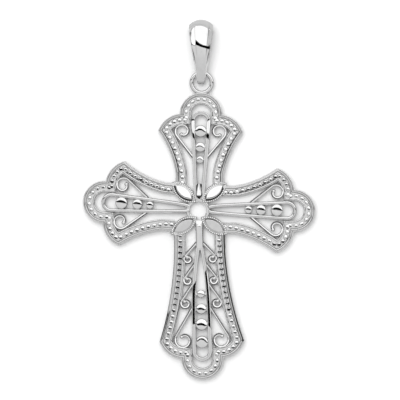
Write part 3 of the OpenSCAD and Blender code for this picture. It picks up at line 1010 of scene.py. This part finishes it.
def make_stem(settings, material):
    """The foot's stem, where its two bars have run together."""
    foot, crest = Arm("foot", settings), settings.cross.rim_h
    half, soft = STEM_W / 2, STEM_SOFT
    right = [(half, STEM_LOW), (half, crest - 2 * soft), (half - soft, crest - soft / 2),
             (half / 2, crest), (soft, crest - soft / 2)]
    section = both_sides(right, (0.0, crest - STEM_VALLEY))
    shape = Shape()
    shape.loft([[foot.place(Vector((x, along * MM)), z) for x, z in section] for along in STEM])
    return [shape.make("foot_stem", material, crease=60)]


def smoothed(path, left=False):
    """A path with its bends rounded by cutting corners; left gives the mirrored way back."""
    for _ in range(SMOOTH_ROUNDS):
        cut = [path[0]]
        for a, b in zip(path, path[1:]):
            cut += [a.lerp(b, 0.25), a.lerp(b, 0.75)]
        path = cut + [path[-1]]
    return mirrored(path)[::-1] if left else path


def scroll_path(arm, row):
    """A scroll from its bar, along a straight run and round its curl."""
    leave, across, along, radius = (v * MM for v in row)
    start = Vector((arm.bar_at(leave), leave))
    centre = Vector((across, along))
    back = start - centre
    turn = bearing(back) + math.degrees(math.acos(radius / back.length))
    curl = [centre + polar(radius * (1 - CURL_LOSS * t ** 2), turn + CURL_TURN * t)
            for t in (i / CURL_STEPS for i in range(CURL_STEPS + 1))]
    return [start, start.lerp(curl[0], 0.5)] + curl


def make_scrolls(settings, material):
    """The scrolls on both sides of each arm's bars."""
    sizes, tree = settings.cross, wire_tree(material)
    pieces = []
    for title, way in (("right_scrolls", 1), ("left_scrolls", -1)):
        paths = []
        for arm in arms(settings):
            for row in SCROLLS[arm.long]:
                path = scroll_path(arm, row)
                path = path if way > 0 else mirrored(path)
                paths.append([arm.place(point, 0.0) for point in path])
        pieces.append(grow(lines(title, paths), tree, {
            "Width": sizes.scroll_w, "Height": sizes.scroll_h, "Round": SCROLL_ROUND,
            "Ball": sizes.scroll_ball_d, "Shade": SCROLL_SHADE, "Line": way * SCROLL_LINE}))
    return pieces


# A dome's height and its post's depth, as shares of its radius, and how square its shoulder is
DOME_RISE, DOME_POST, DOME_SHOULDER = 0.88, 0.7, 9
# Its sides and steps, the cut of its foot's edge and the radius of its flat spot on top
DOME_SIDES, DOME_STEPS, DOME_EDGE, DOME_SPOT = 40, 16, 0.04, 0.01
# The domes' straps: from and to which height they reach, and the cut of their edges
STRAP_LOW, STRAP_HIGH, STRAP_SOFT = 0.12 * MM, 0.72 * MM, 0.08 * MM


def dome_section(curve):
    """Half the section of a dome on its post, for a radius of one: distance out and height."""
    section = [(1 - DOME_EDGE, -DOME_POST), (1.0, -DOME_POST + DOME_EDGE), (1.0, 0.0)]
    for i in range(1, DOME_STEPS + 1):
        out = math.cos(math.radians(90 * i / DOME_STEPS))
        shoulder = 1 - (1 - out ** DOME_SHOULDER) ** (1 / DOME_SHOULDER)
        drop = curve * out * out / 2 + (DOME_RISE - curve / 2) * shoulder
        section.append((max(out, DOME_SPOT), DOME_RISE - drop))
    return section


def make_domes(settings, material):
    """The domes on short posts, in a row between each arm's bars."""
    shape = Shape()
    for arm in arms(settings):
        for along, diameter, curve, lean, aside in DOMES[arm.name]:
            foot = arm.place(Vector((0, along * MM)), settings.cross.floor_h)
            tilt = Matrix.Rotation(math.radians(-lean), 3, "X")
            radius = diameter * MM / 2
            rings = []
            for out, height in dome_section(curve):
                spots = [polar(out, 360 * k / DOME_SIDES) for k in range(DOME_SIDES)]
                falls = [curve * aside * p.x * p.x * p.y if height > 0 else 0.0 for p in spots]
                rings.append([foot + tilt @ (radius * Vector((*p, height - fall)))
                              for p, fall in zip(spots, falls)])
            shape.loft(rings)
    return [shape.make("domes", material, crease=50)]


def make_dome_straps(settings, material):
    """The low straps that tie the domes to both bars."""
    shape = Shape()
    for arm in arms(settings):
        for along, diameter, *_ in DOMES[arm.name]:
            half, thick, soft = arm.bar_at(along * MM), diameter * MM / 4, STRAP_SOFT
            section = both_sides([(thick, STRAP_LOW), (thick, STRAP_HIGH - soft),
                                  (thick - soft, STRAP_HIGH)])
            shape.loft([[arm.place(Vector((x, along * MM + y)), z) for y, z in section]
                        for x in (-half, half)])
    return [shape.make("dome_straps", material)]


# Steps along half a petal's face and along half its grained edge, and how much closer together the
# edge's points are at its inner tip
OVAL_STEPS, COLLAR_STEPS, COLLAR_CLOSER = 20, 14, 1.3
# How far from the edge's outer tip its square corner takes over, in corner depths, and places
# along the corner's side, as shares of that depth
CORNER_FROM, CORNER_PLACES = 1.15, (0.97, 0.66, 0.33, 0.08)


def oval_radius(long, wide):
    """Radius of the two arcs of a pointed oval."""
    return (long * long / wide + wide) / 4


def oval(long, wide):
    """A pointed oval outline as one closed list, from its inner tip round by its right side."""
    radius = oval_radius(long, wide)
    tip = math.asin(long / 2 / radius)
    upper = [Vector((radius * math.sin(a), radius * math.cos(a) - radius + wide / 2))
             for a in (-tip + 2 * tip * i / OVAL_STEPS for i in range(OVAL_STEPS))]
    return upper + [Vector((-p.x, -p.y)) for p in upper]


def collar_outline(sizes, edge):
    """Outline of a petal's grained edge at a distance out from its face, with its square corner."""
    long = sizes.petal_face_l + EDGE_STRETCH * edge
    wide = sizes.petal_face_w + 2 * edge
    radius = oval_radius(long, wide)
    tip = long / 2
    back = sizes.petal_corner * edge / sizes.petal_edge_w * math.sqrt(0.5)

    def half_width(x):
        return math.sqrt(max(radius * radius - x * x, 0.0)) - radius + wide / 2

    join = tip - back * CORNER_FROM
    upper = [Vector((x, half_width(x)))
             for x in (-tip + (join + tip) * (i / COLLAR_STEPS) ** COLLAR_CLOSER
                       for i in range(COLLAR_STEPS + 1))]
    upper += [Vector((tip - back * t, back * t)) for t in CORNER_PLACES]
    return upper + [Vector((p.x, -p.y)) for p in upper[:0:-1]]


def petal_middle(sizes, row):
    """The middle of a petal, from the crossing."""
    side, end, _ = row
    return Vector((side * sizes.petal_x, end * sizes.petal_y))


def petal_place(settings, row, point, height):
    """A point of a petal's own plane, in the pendant's frame."""
    at = crossing(settings) + petal_middle(settings.cross, row) + turned(point, row[2])
    return Vector((at.x, at.y, height))


# Levels of a petal's face, from its edge to its crest: share of the outline kept, share of the rise
FACE_LEVELS = [(1.0, -1.2), (1.0, 0.2), (0.99, 0.5), (0.97, 0.75), (0.93, 0.9), (0.85, 0.96),
               (0.7, 0.99), (0.5, 1.0), (0.25, 1.0), (0.04, 1.0)]
# Rise of its crest above its edge, and its fall along the pendant, away from the crossing
FACE_RISE, FACE_SLOPE = 0.2 * MM, 0.17


def make_petals(settings, material):
    """The four smooth leaf faces round the crossing, each leaning away from it."""
    sizes = settings.cross
    shape = Shape()
    outline = oval(sizes.petal_face_l, sizes.petal_face_w)
    for row in PETALS:
        _, end, turn = row
        rings = []
        for keep, lift in FACE_LEVELS:
            ring = []
            for point in outline:
                flat = Vector((point.x * keep, point.y * keep))
                slope = -end * turned(flat, turn).y * FACE_SLOPE
                ring.append(petal_place(settings, row, flat,
                                        sizes.rim_h + FACE_RISE * lift + slope))
            rings.append(ring)
        shape.loft(rings)
    piece = shape.make("petals", material, crease=60)
    grain_map(piece.data, settings)
    return [piece]


def grain_map(mesh, settings):
    """A UV map whose U runs along each petal, for its brushed lines."""
    layer = mesh.uv_layers.new(name="along_petal")
    centre = crossing(settings)
    for loop in mesh.loops:
        at = mesh.vertices[loop.vertex_index].co.xy - centre
        for row in PETALS:
            side, end, turn = row
            if at.x * side > 0 and at.y * end > 0:
                local = turned(at - petal_middle(settings.cross, row), -turn)
                layer.data[loop.index].uv = (local.x / MM, local.y / MM)


# Section of a petal's collar: distance out from the face, height, painted shade (on the grains' bed, and
# a painted dark reflection in the groove beside the face)
COLLAR_SECTION = [(0.5, 0.0, 0.0), (0.5, 1.3, 0.0), (0.47, 1.38, 0.1), (0.42, 1.42, 0.5),
                  (0.24, 1.42, 0.5), (0.18, 1.42, 1.0), (0.08, 1.34, 1.0), (0.01, 1.3, 1.0)]
# From which place in the section the groove beside the face starts, past the grains' bed
COLLAR_GROOVE = 5
# Share of the groove's painted dark reflection on a petal's side away from the side arms, and on the
# lower petals
OUTER_COLLAR_SHADE, LOWER_COLLAR_SHADE = 0.15, 0.65


def make_collars(settings, material):
    """The plates under the petals, with their square outer corners."""
    shape = Shape()
    outlines = [collar_outline(settings.cross, out * MM) for out, *_ in COLLAR_SECTION]
    for row in PETALS:
        _, end, turn = row
        rings = [[petal_place(settings, row, point, height * MM) for point in outline]
                 for outline, (_, height, _) in zip(outlines, COLLAR_SECTION)]

        # Painted shade on the grains' bed, and a painted dark reflection in the groove on the side
        # towards the side arms
        def shade(r, i):
            groove = LOWER_COLLAR_SHADE if end < 0 else 1.0
            if outlines[r][i].y * math.cos(math.radians(turn)) * end >= 0:
                groove = OUTER_COLLAR_SHADE
            return COLLAR_SECTION[r][2] * (groove if r >= COLLAR_GROOVE else 1.0)

        shape.loft(rings, marks={"recess": shade})
    return [shape.make("petal_collars", material)]


# The grains: distance between them in diameters, how far out from the face and how high up their
# middles are, their crown, measured as a bead's is, and their fixed random seed
GRAIN_PITCH, GRAIN_OUT, GRAIN_AT, GRAIN_CROWN, GRAIN_SEED = 1.18, 0.32 * MM, 1.42 * MM, 0.3, 9


def make_grains(settings, material):
    """The fine grains in a row round each petal."""
    sizes = settings.cross
    points = []
    outline = collar_outline(sizes, GRAIN_OUT)
    ring = outline + outline[:1]
    for row in PETALS:
        walked = 0.0
        for a, b in zip(ring, ring[1:]):
            step = (b - a).length
            while walked < step:
                points.append(petal_place(settings, row, a.lerp(b, walked / step), GRAIN_AT))
                walked += sizes.grain_d * GRAIN_PITCH
            walked -= step
    count = len(points)
    piece = seeds("petal_grains", points, turn=[(0, 0, 0)] * count, stretch=[(1, 1, 1)] * count)
    return [grow(piece, bead_tree(material), {"Diameter": sizes.grain_d, "Height": sizes.grain_d,
                                              "Crown": GRAIN_CROWN, "Seed": GRAIN_SEED})]


# Steps round a quarter of the hole's wide end, and round its narrow end
HOLE_STEPS = 18


def drop_outline(sizes, out):
    """Outline of the drop-shaped hole, moved out by a distance."""
    wide, narrow = sizes.hole_r + out, sizes.hole_tail_r + out
    gap = (HOLE_AT - HOLE_TAIL_AT).length
    lean = math.degrees(math.asin((wide - narrow) / gap)) if gap > wide - narrow else 90

    def bend(middle, radius, start, turn, steps):
        return [middle + polar(radius, start + turn * i / steps) for i in range(steps + 1)]

    return (bend(HOLE_AT, wide, -lean, 180 + 2 * lean, 2 * HOLE_STEPS)
            + bend(HOLE_TAIL_AT, narrow, 180 + lean, 180 - 2 * lean, HOLE_STEPS))


# Section of the plate round the hole: distance out from the hole, height
PLATE_SECTION = [(0.04, 0.0), (0.0, 0.06), (0.0, 1.12), (0.05, 1.21), (0.14, 1.25), (0.42, 1.25),
                 (0.5, 1.21), (0.55, 1.1), (0.55, 0.06), (0.5, 0.0)]
# Wedges below the hole and where the head's bars meet: the cut of their top's edges, how much painted
# dark reflection their edges and last sections get, and the sections: distance from the crossing, half
# width, height
WEDGES = [
    (0.1, 0.0, [(-1.8, 0.6, 1.18), (-1.9, 0.62, 1.26), (-2.3, 0.52, 1.42), (-2.72, 0.38, 1.52),
                (-2.84, 0.3, 1.4)]),
    (0.22, 1.0, [(4.0, 0.4, 1.6), (3.7, 0.46, 1.77), (2.9, 0.46, 1.85), (2.3, 0.54, 1.95),
                 (2.05, 0.46, 1.98), (1.75, 0.3, 1.6)])]
# Height of their undersides, how many sections count as an end, and which points of a section are
# the upper ends of its sides and the edges of its top
WEDGE_LOW, WEDGE_END, SIDE_POINTS, TOP_POINTS = 0.2, 2, (2, 6), (3, 5)


def make_centre(settings, material):
    """The plate with the drop-shaped hole, and the small wedges above and below it."""
    centre = crossing(settings)
    shape = Shape()
    outlines = [drop_outline(settings.cross, out * MM) for out, _ in PLATE_SECTION]
    rings = [[Vector((*(centre + outline[i]), height * MM))
              for outline, (_, height) in zip(outlines, PLATE_SECTION)]
             for i in range(len(outlines[0]))]
    shape.loft(rings, joined=True)
    for soft, dark, rows in WEDGES:
        wedge = []
        for along, half, height in rows:
            section = both_sides([(half, WEDGE_LOW), (half, height - soft),
                                  (half - soft, height)], (0, height))
            wedge.append([Vector((centre.x + x * MM, centre.y + along * MM, z * MM))
                          for x, z in section])

        # Painted dark reflections along the wedges' sides, their outer end's top edges and their last
        # sections
        def shade(r, i):
            edge = i in SIDE_POINTS or (i in TOP_POINTS and r < WEDGE_END)
            return dark if edge or r >= len(rows) - WEDGE_END else 0.0

        shape.loft(wedge, marks={"recess": shade})
    return [shape.make("crossing_plate", material)]


# Steps round the ring and round its wire
RING_STEPS, RING_SIDES = 72, 20


def make_ring(settings, material):
    """The soldered ring on the head's lobe."""
    bail, head = settings.bail, Arm("head", settings)
    middle = Vector((0, head.reach + bail.ring_gap))
    wire = bail.ring_wire_d / 2
    rings = []
    for i in range(RING_STEPS):
        out = polar(1.0, 360 * i / RING_STEPS)
        rings.append([head.place(middle + out * (bail.ring_r + wire * math.cos(a)),
                                 bail.ring_h + wire * math.sin(a))
                      for a in (2 * math.pi * k / RING_SIDES for k in range(RING_SIDES))])
    shape = Shape()
    shape.loft(rings, joined=True)
    return [shape.make("ring", material, crease=80)]


# The bail

# Cross-section of the strip's face: share of the half width, and depth under the sagging face in mm
STRIP_FACE = [(-1.0, 0.26), (-0.995, 0.17), (-0.97, 0.125), (-0.94, 0.1), (-0.8, 0.015),
              (-0.775, 0.0), (-0.66, 0.0), (-0.6, 0.0), (-0.56, 0.0), (-0.4, 0.0), (-0.2, 0.0),
              (0.0, 0.0)]
STRIP_FACE += [(-across, depth) for across, depth in STRIP_FACE[-2::-1]]
# Places across its back, as shares of the half width, and the share of the face's sag that it has
STRIP_BACK, BACK_SAG = [0.99, 0.94, 0.5, 0.0, -0.5, -0.94, -0.99], 0.6
# The strip's upper part: height as a share of the crown's, width as a share of its greatest
UPPER_WIDTHS = [(0.76, 1.0), (0.92, 0.97), (0.96, 0.93), (0.985, 0.86), (1.0, 0.76)]
# Steps round the strip's crown, down its bow, round its eye and up its back
CROWN_STEPS, BOW_STEPS, EYE_STEPS, BACK_STEPS = 26, 40, 20, 10
# Painted shade on the strip's face up its crown: along in mm, share
CROWN_SHADES = [(27.75, 0.0), (27.88, 0.4), (28.05, 0.2), (30, 0.2)]
# Painted shade on its bevels, with a dark painted reflection at the right bevel's edge: share of the
# half width, share; how much of that counts: along in mm, share
BEVEL_SHADES = [(-0.6, 0.0), (-0.56, 0.2), (-0.4, 0.0), (0.4, 0.0), (0.56, 0.12), (0.6, 0.9),
                (0.66, 0.3), (0.8, 0.2), (1.0, 0.2)]
BEVEL_FROM = [(22.5, 0.0), (24.0, 1.0)]


def bail_stations(bail):
    """Stations round the strip seen from the side: its middle and the way its outer face looks."""
    half = bail.strip_t / 2
    turn = math.degrees(bail.bow_turn)
    eye = Vector((bail.eye_r + half - bail.tip_drop, bail.eye_r + half))
    crown = Vector((bail.crown_rise - bail.crown_r - half, bail.crown_r + half))
    bow = crown - polar(bail.bow_r - bail.crown_r, 90 - turn)
    span = bow - eye
    rise = math.degrees(math.atan2(span.x, -span.y)
                        - math.acos((bail.bow_r - bail.eye_r) / span.length))

    def bend(centre, radius, start, end, steps):
        return [(centre + polar(radius, a), a)
                for a in (start + (end - start) * i / steps for i in range(steps + 1))]

    front = bend(bow, bail.bow_r, 90 - turn, 90 + rise, BOW_STEPS)
    tip = bend(eye, bail.eye_r, 90 + rise, 270, EYE_STEPS)
    top = bend(crown, bail.crown_r, -90, 90 - turn, CROWN_STEPS)
    back = [(tip[-1][0].lerp(top[0][0], i / BACK_STEPS), 270) for i in range(1, BACK_STEPS)]
    return top + front[1:] + tip[1:] + back


def make_bail(settings, material):
    """The tapered strip, bent into a closed loop."""
    bail = settings.bail
    at = crossing(settings) + Vector((BAIL_X, hinge_at(settings)))
    widths = [(-bail.tip_drop, bail.tip_w), (0.0, bail.neck_w)]
    widths += [(up * bail.crown_rise, wide * bail.crown_w) for up, wide in UPPER_WIDTHS]
    rings, stations = [], bail_stations(bail)
    for middle, look in stations:
        wide = lookup(middle.x, widths)
        sag = bail.sag * wide / bail.crown_w
        out = polar(1.0, look)
        arch = bail.crown_arch * max(0.0, out.x) ** 3
        ring = [(across * wide / 2, bail.strip_t / 2 - (sag + arch) * across ** 2 - depth * MM)
                for across, depth in STRIP_FACE]
        ring += [(across * wide / 2, -bail.strip_t / 2 - (BACK_SAG * sag + arch) * across ** 2)
                 for across in STRIP_BACK]
        rings.append([Vector((at.x + x, at.y + middle.x + out.x * d, middle.y + out.y * d))
                      for x, d in ring])

    # Painted shade up the crown's border and on the bevels, and a dark painted reflection beside the
    # right bevel, on the face only
    def shade(r, i):
        if i >= len(STRIP_FACE) or math.sin(math.radians(stations[r][1])) < 0:
            return 0.0
        along = rings[r][i].y / MM
        bevel = lookup(STRIP_FACE[i][0], BEVEL_SHADES) * lookup(along, BEVEL_FROM)
        aside = rings[r][i].x - at.x - TOP_MIDDLE
        return lookup(along + aside * aside * TOP_ROUND / MM, CROWN_SHADES) or bevel

    shape = Shape()
    shape.loft(rings, joined=True, marks={"recess": shade})
    return [shape.make("bail_strip", material, crease=70)]


# Stage


# Brightness of the light dome from its far side, over the top, to its bright side: place, value;
# and how many times brighter all of it is
SKY_STOPS = [(0.0, 0.45), (0.25, 0.5), (0.5, 0.56), (0.554, 0.58), (0.562, 0.0),
             (0.611, 0.0), (0.62, 0.9), (1.0, 0.86)]
SKY_TOP = 1.25
# Brightness of the light dome from the horizon up: height as a share, value
SKY_RIM = [(0.0, 0.5), (0.14, 0.5), (0.17, 0.2), (0.23, 0.2), (0.3, 1.0), (1.0, 1.0)]
# Share of the dome's light that reaches the floor, which the lamp mostly lights
SKY_ON_FLOOR = 0.8
# The empty sky as the camera sees it
PLAIN_SKY = (0.95, 0.95, 0.95, 1.0)
# Half the floor's side, in metres, and how far under the pendant it lies
FLOOR_HALF, FLOOR_DROP = 1.5, 0.01 * MM
# Where the lamp stands, in metres
LAMP_AT = Vector((-0.08, 0.1, 0.5))
# The view's middle from the crossing, and the height at which its width is measured
VIEW_AT, VIEW_HEIGHT = Vector((0.16, 1.44)) * MM, 1.2 * MM


def make_sky(stage):
    """A light dome: grey overhead, a thin dark band, white beyond it, and dark near the horizon."""
    world = bpy.data.worlds.new("light_dome")
    world.use_nodes = True
    bpy.context.scene.world = world
    graph = Graph(world.node_tree)
    look = graph.add("ShaderNodeTexCoord")["Generated"]
    bright_side = (math.sin(stage.sky_turn), math.cos(stage.sky_turn), 0.0)
    across = graph.add("ShaderNodeVectorMath", {0: look, 1: bright_side}, operation="DOT_PRODUCT")
    place = across["Value"] * 0.5 + 0.5
    ramp = graph.add("ShaderNodeValToRGB", {"Fac": place}, stops=SKY_STOPS)["Color"]
    up = graph.add("ShaderNodeSeparateXYZ", {0: look})["Z"]
    rim = graph.add("ShaderNodeValToRGB", {"Fac": up}, stops=SKY_RIM)["Color"]
    ray = graph.add("ShaderNodeLightPath")
    strength = rim * (1.0 - ray["Is Diffuse Ray"] * (1.0 - SKY_ON_FLOOR))
    dome = graph.add("ShaderNodeBackground", {"Color": ramp,
                                              "Strength": strength * (SKY_TOP * stage.sky)})[0]
    plain = graph.add("ShaderNodeBackground", {"Color": PLAIN_SKY})[0]
    mixed = graph.add("ShaderNodeMixShader", {0: ray["Is Camera Ray"], 1: dome, 2: plain})[0]
    graph.add("ShaderNodeOutputWorld", {"Surface": mixed})


def make_floor(stage):
    """A plain pale floor under the pendant."""
    material = bpy.data.materials.new("pale_floor")
    material.use_nodes = True
    graph = Graph(material.node_tree)
    pale = graph.add("ShaderNodeBsdfDiffuse", {"Color": tuple(stage.floor_colour)})[0]
    dim = graph.add("ShaderNodeBsdfDiffuse", {"Color": tuple(stage.mirrored_floor_colour)})[0]
    mirrored_ray = graph.add("ShaderNodeLightPath")["Is Glossy Ray"]
    shader = graph.add("ShaderNodeMixShader", {0: mirrored_ray, 1: pale, 2: dim})[0]
    graph.add("ShaderNodeOutputMaterial", {"Surface": shader})
    mesh = bpy.data.meshes.new("floor")
    corners = [(-1, -1), (1, -1), (1, 1), (-1, 1)]
    mesh.from_pydata([(x * FLOOR_HALF, y * FLOOR_HALF, -FLOOR_DROP) for x, y in corners], [],
                     [(0, 1, 2, 3)])
    mesh.materials.append(material)
    show("floor", mesh)


def make_light(stage):
    """One soft light from the upper left, which the silver doesn't mirror."""
    data = bpy.data.lights.new("soft_light", "AREA")
    data.energy = stage.light_power
    data.size = stage.light_size
    lamp = show("soft_light", data)
    turn = LAMP_AT.to_track_quat("Z", "Y").to_matrix().to_4x4()
    lamp.matrix_world = Matrix.Translation(LAMP_AT) @ turn
    lamp.visible_glossy = False


def make_camera(settings):
    """A long lens straight above, framed as the photograph is."""
    stage = settings.stage
    data = bpy.data.cameras.new("Camera")
    data.lens = stage.lens
    data.sensor_width = 36.0
    data.clip_start = 0.01
    camera = show("Camera", data)
    middle = crossing(settings) + VIEW_AT
    distance = stage.view_width * stage.lens / data.sensor_width
    camera.location = (middle.x, middle.y, distance + VIEW_HEIGHT)
    bpy.context.scene.camera = camera


# Operators and panel


def build(context, finish, *makers):
    """Makes pieces of the cross and settles them there."""
    settings = context.scene.pendant
    for make in makers:
        for piece in make(settings, finishes(settings)[finish]):
            settle(piece, "cross", "cross")
    return {"FINISHED"}


class PENDANT_OT_stage(bpy.types.Operator):
    """Adds the light dome, the floor, the lamp and the camera"""
    bl_idname = "pendant.stage"
    bl_label = "Stage"

    def execute(self, context):
        settings = context.scene.pendant
        make_sky(settings.stage)
        make_floor(settings.stage)
        make_light(settings.stage)
        make_camera(settings)
        context.scene.view_settings.view_transform = "Standard"
        return {"FINISHED"}


class PENDANT_OT_border(bpy.types.Operator):
    """Adds the outer wire, the floor and the inner edge round the arms"""
    bl_idname = "pendant.border"
    bl_label = "Border"

    def execute(self, context):
        return build(context, "polished_wire", make_border)


class PENDANT_OT_beads(bpy.types.Operator):
    """Adds the rows of beads in the border"""
    bl_idname = "pendant.beads"
    bl_label = "Border beads"

    def execute(self, context):
        return build(context, "polished_beads", make_border_beads)


class PENDANT_OT_bars(bpy.types.Operator):
    """Adds the pair of bars along each arm and the foot's stem"""
    bl_idname = "pendant.bars"
    bl_label = "Bars"

    def execute(self, context):
        return build(context, "polished_wire", make_bars, make_stem)


class PENDANT_OT_scrolls(bpy.types.Operator):
    """Adds the scrolls beside the bars"""
    bl_idname = "pendant.scrolls"
    bl_label = "Scrolls"

    def execute(self, context):
        return build(context, "polished_scrolls", make_scrolls)


class PENDANT_OT_domes(bpy.types.Operator):
    """Adds the domes between the bars and the straps under them"""
    bl_idname = "pendant.domes"
    bl_label = "Domes"

    def execute(self, context):
        return build(context, "polished_domes", make_domes, make_dome_straps)


class PENDANT_OT_petals(bpy.types.Operator):
    """Adds the four leaf faces round the crossing"""
    bl_idname = "pendant.petals"
    bl_label = "Petals"

    def execute(self, context):
        return build(context, "brushed_petals", make_petals)


class PENDANT_OT_collars(bpy.types.Operator):
    """Adds the plates under the petals"""
    bl_idname = "pendant.collars"
    bl_label = "Petal collars"

    def execute(self, context):
        return build(context, "polished_wire", make_collars)


class PENDANT_OT_grains(bpy.types.Operator):
    """Adds the row of fine grains round each petal"""
    bl_idname = "pendant.grains"
    bl_label = "Petal grains"

    def execute(self, context):
        return build(context, "polished_grains", make_grains)


class PENDANT_OT_centre(bpy.types.Operator):
    """Adds the plate with the drop-shaped hole and the small wedges beside it"""
    bl_idname = "pendant.centre"
    bl_label = "Centre"

    def execute(self, context):
        return build(context, "polished_domes", make_centre)


class PENDANT_OT_ring(bpy.types.Operator):
    """Adds the ring on the head's lobe"""
    bl_idname = "pendant.ring"
    bl_label = "Ring"

    def execute(self, context):
        return build(context, "polished_ring", make_ring)


class PENDANT_OT_bail(bpy.types.Operator):
    """Adds the tapered bail in the ring"""
    bl_idname = "pendant.bail"
    bl_label = "Bail"

    def execute(self, context):
        settings = context.scene.pendant
        for strip in make_bail(settings, finishes(settings)["polished_bail"]):
            settle(strip, "bail", "bail")
        return {"FINISHED"}


OPERATORS = [PENDANT_OT_stage, PENDANT_OT_border, PENDANT_OT_beads, PENDANT_OT_bars,
             PENDANT_OT_scrolls, PENDANT_OT_domes, PENDANT_OT_petals, PENDANT_OT_collars,
             PENDANT_OT_grains, PENDANT_OT_centre, PENDANT_OT_ring, PENDANT_OT_bail]


class PENDANT_PT_sidebar(bpy.types.Panel):
    """Buttons that build the pendant piece by piece"""
    bl_label = "Pendant"
    bl_idname = "PENDANT_PT_sidebar"
    bl_space_type = "VIEW_3D"
    bl_region_type = "UI"
    bl_category = "Pendant"

    def draw(self, context):
        for made in OPERATORS:
            self.layout.operator(made.bl_idname)


CLASSES = [CrossSizes, BailSizes, SilverLook, StageLook, PendantSettings, *OPERATORS,
           PENDANT_PT_sidebar]


def register():
    for made in CLASSES:
        bpy.utils.register_class(made)
    bpy.types.Scene.pendant = bpy.props.PointerProperty(type=PendantSettings)


def unregister():
    del bpy.types.Scene.pendant
    for made in reversed(CLASSES):
        bpy.utils.unregister_class(made)


def main():
    register()
    for made in OPERATORS:
        getattr(bpy.ops.pendant, made.bl_idname.split(".")[1])()


if __name__ == "__main__":
    main()
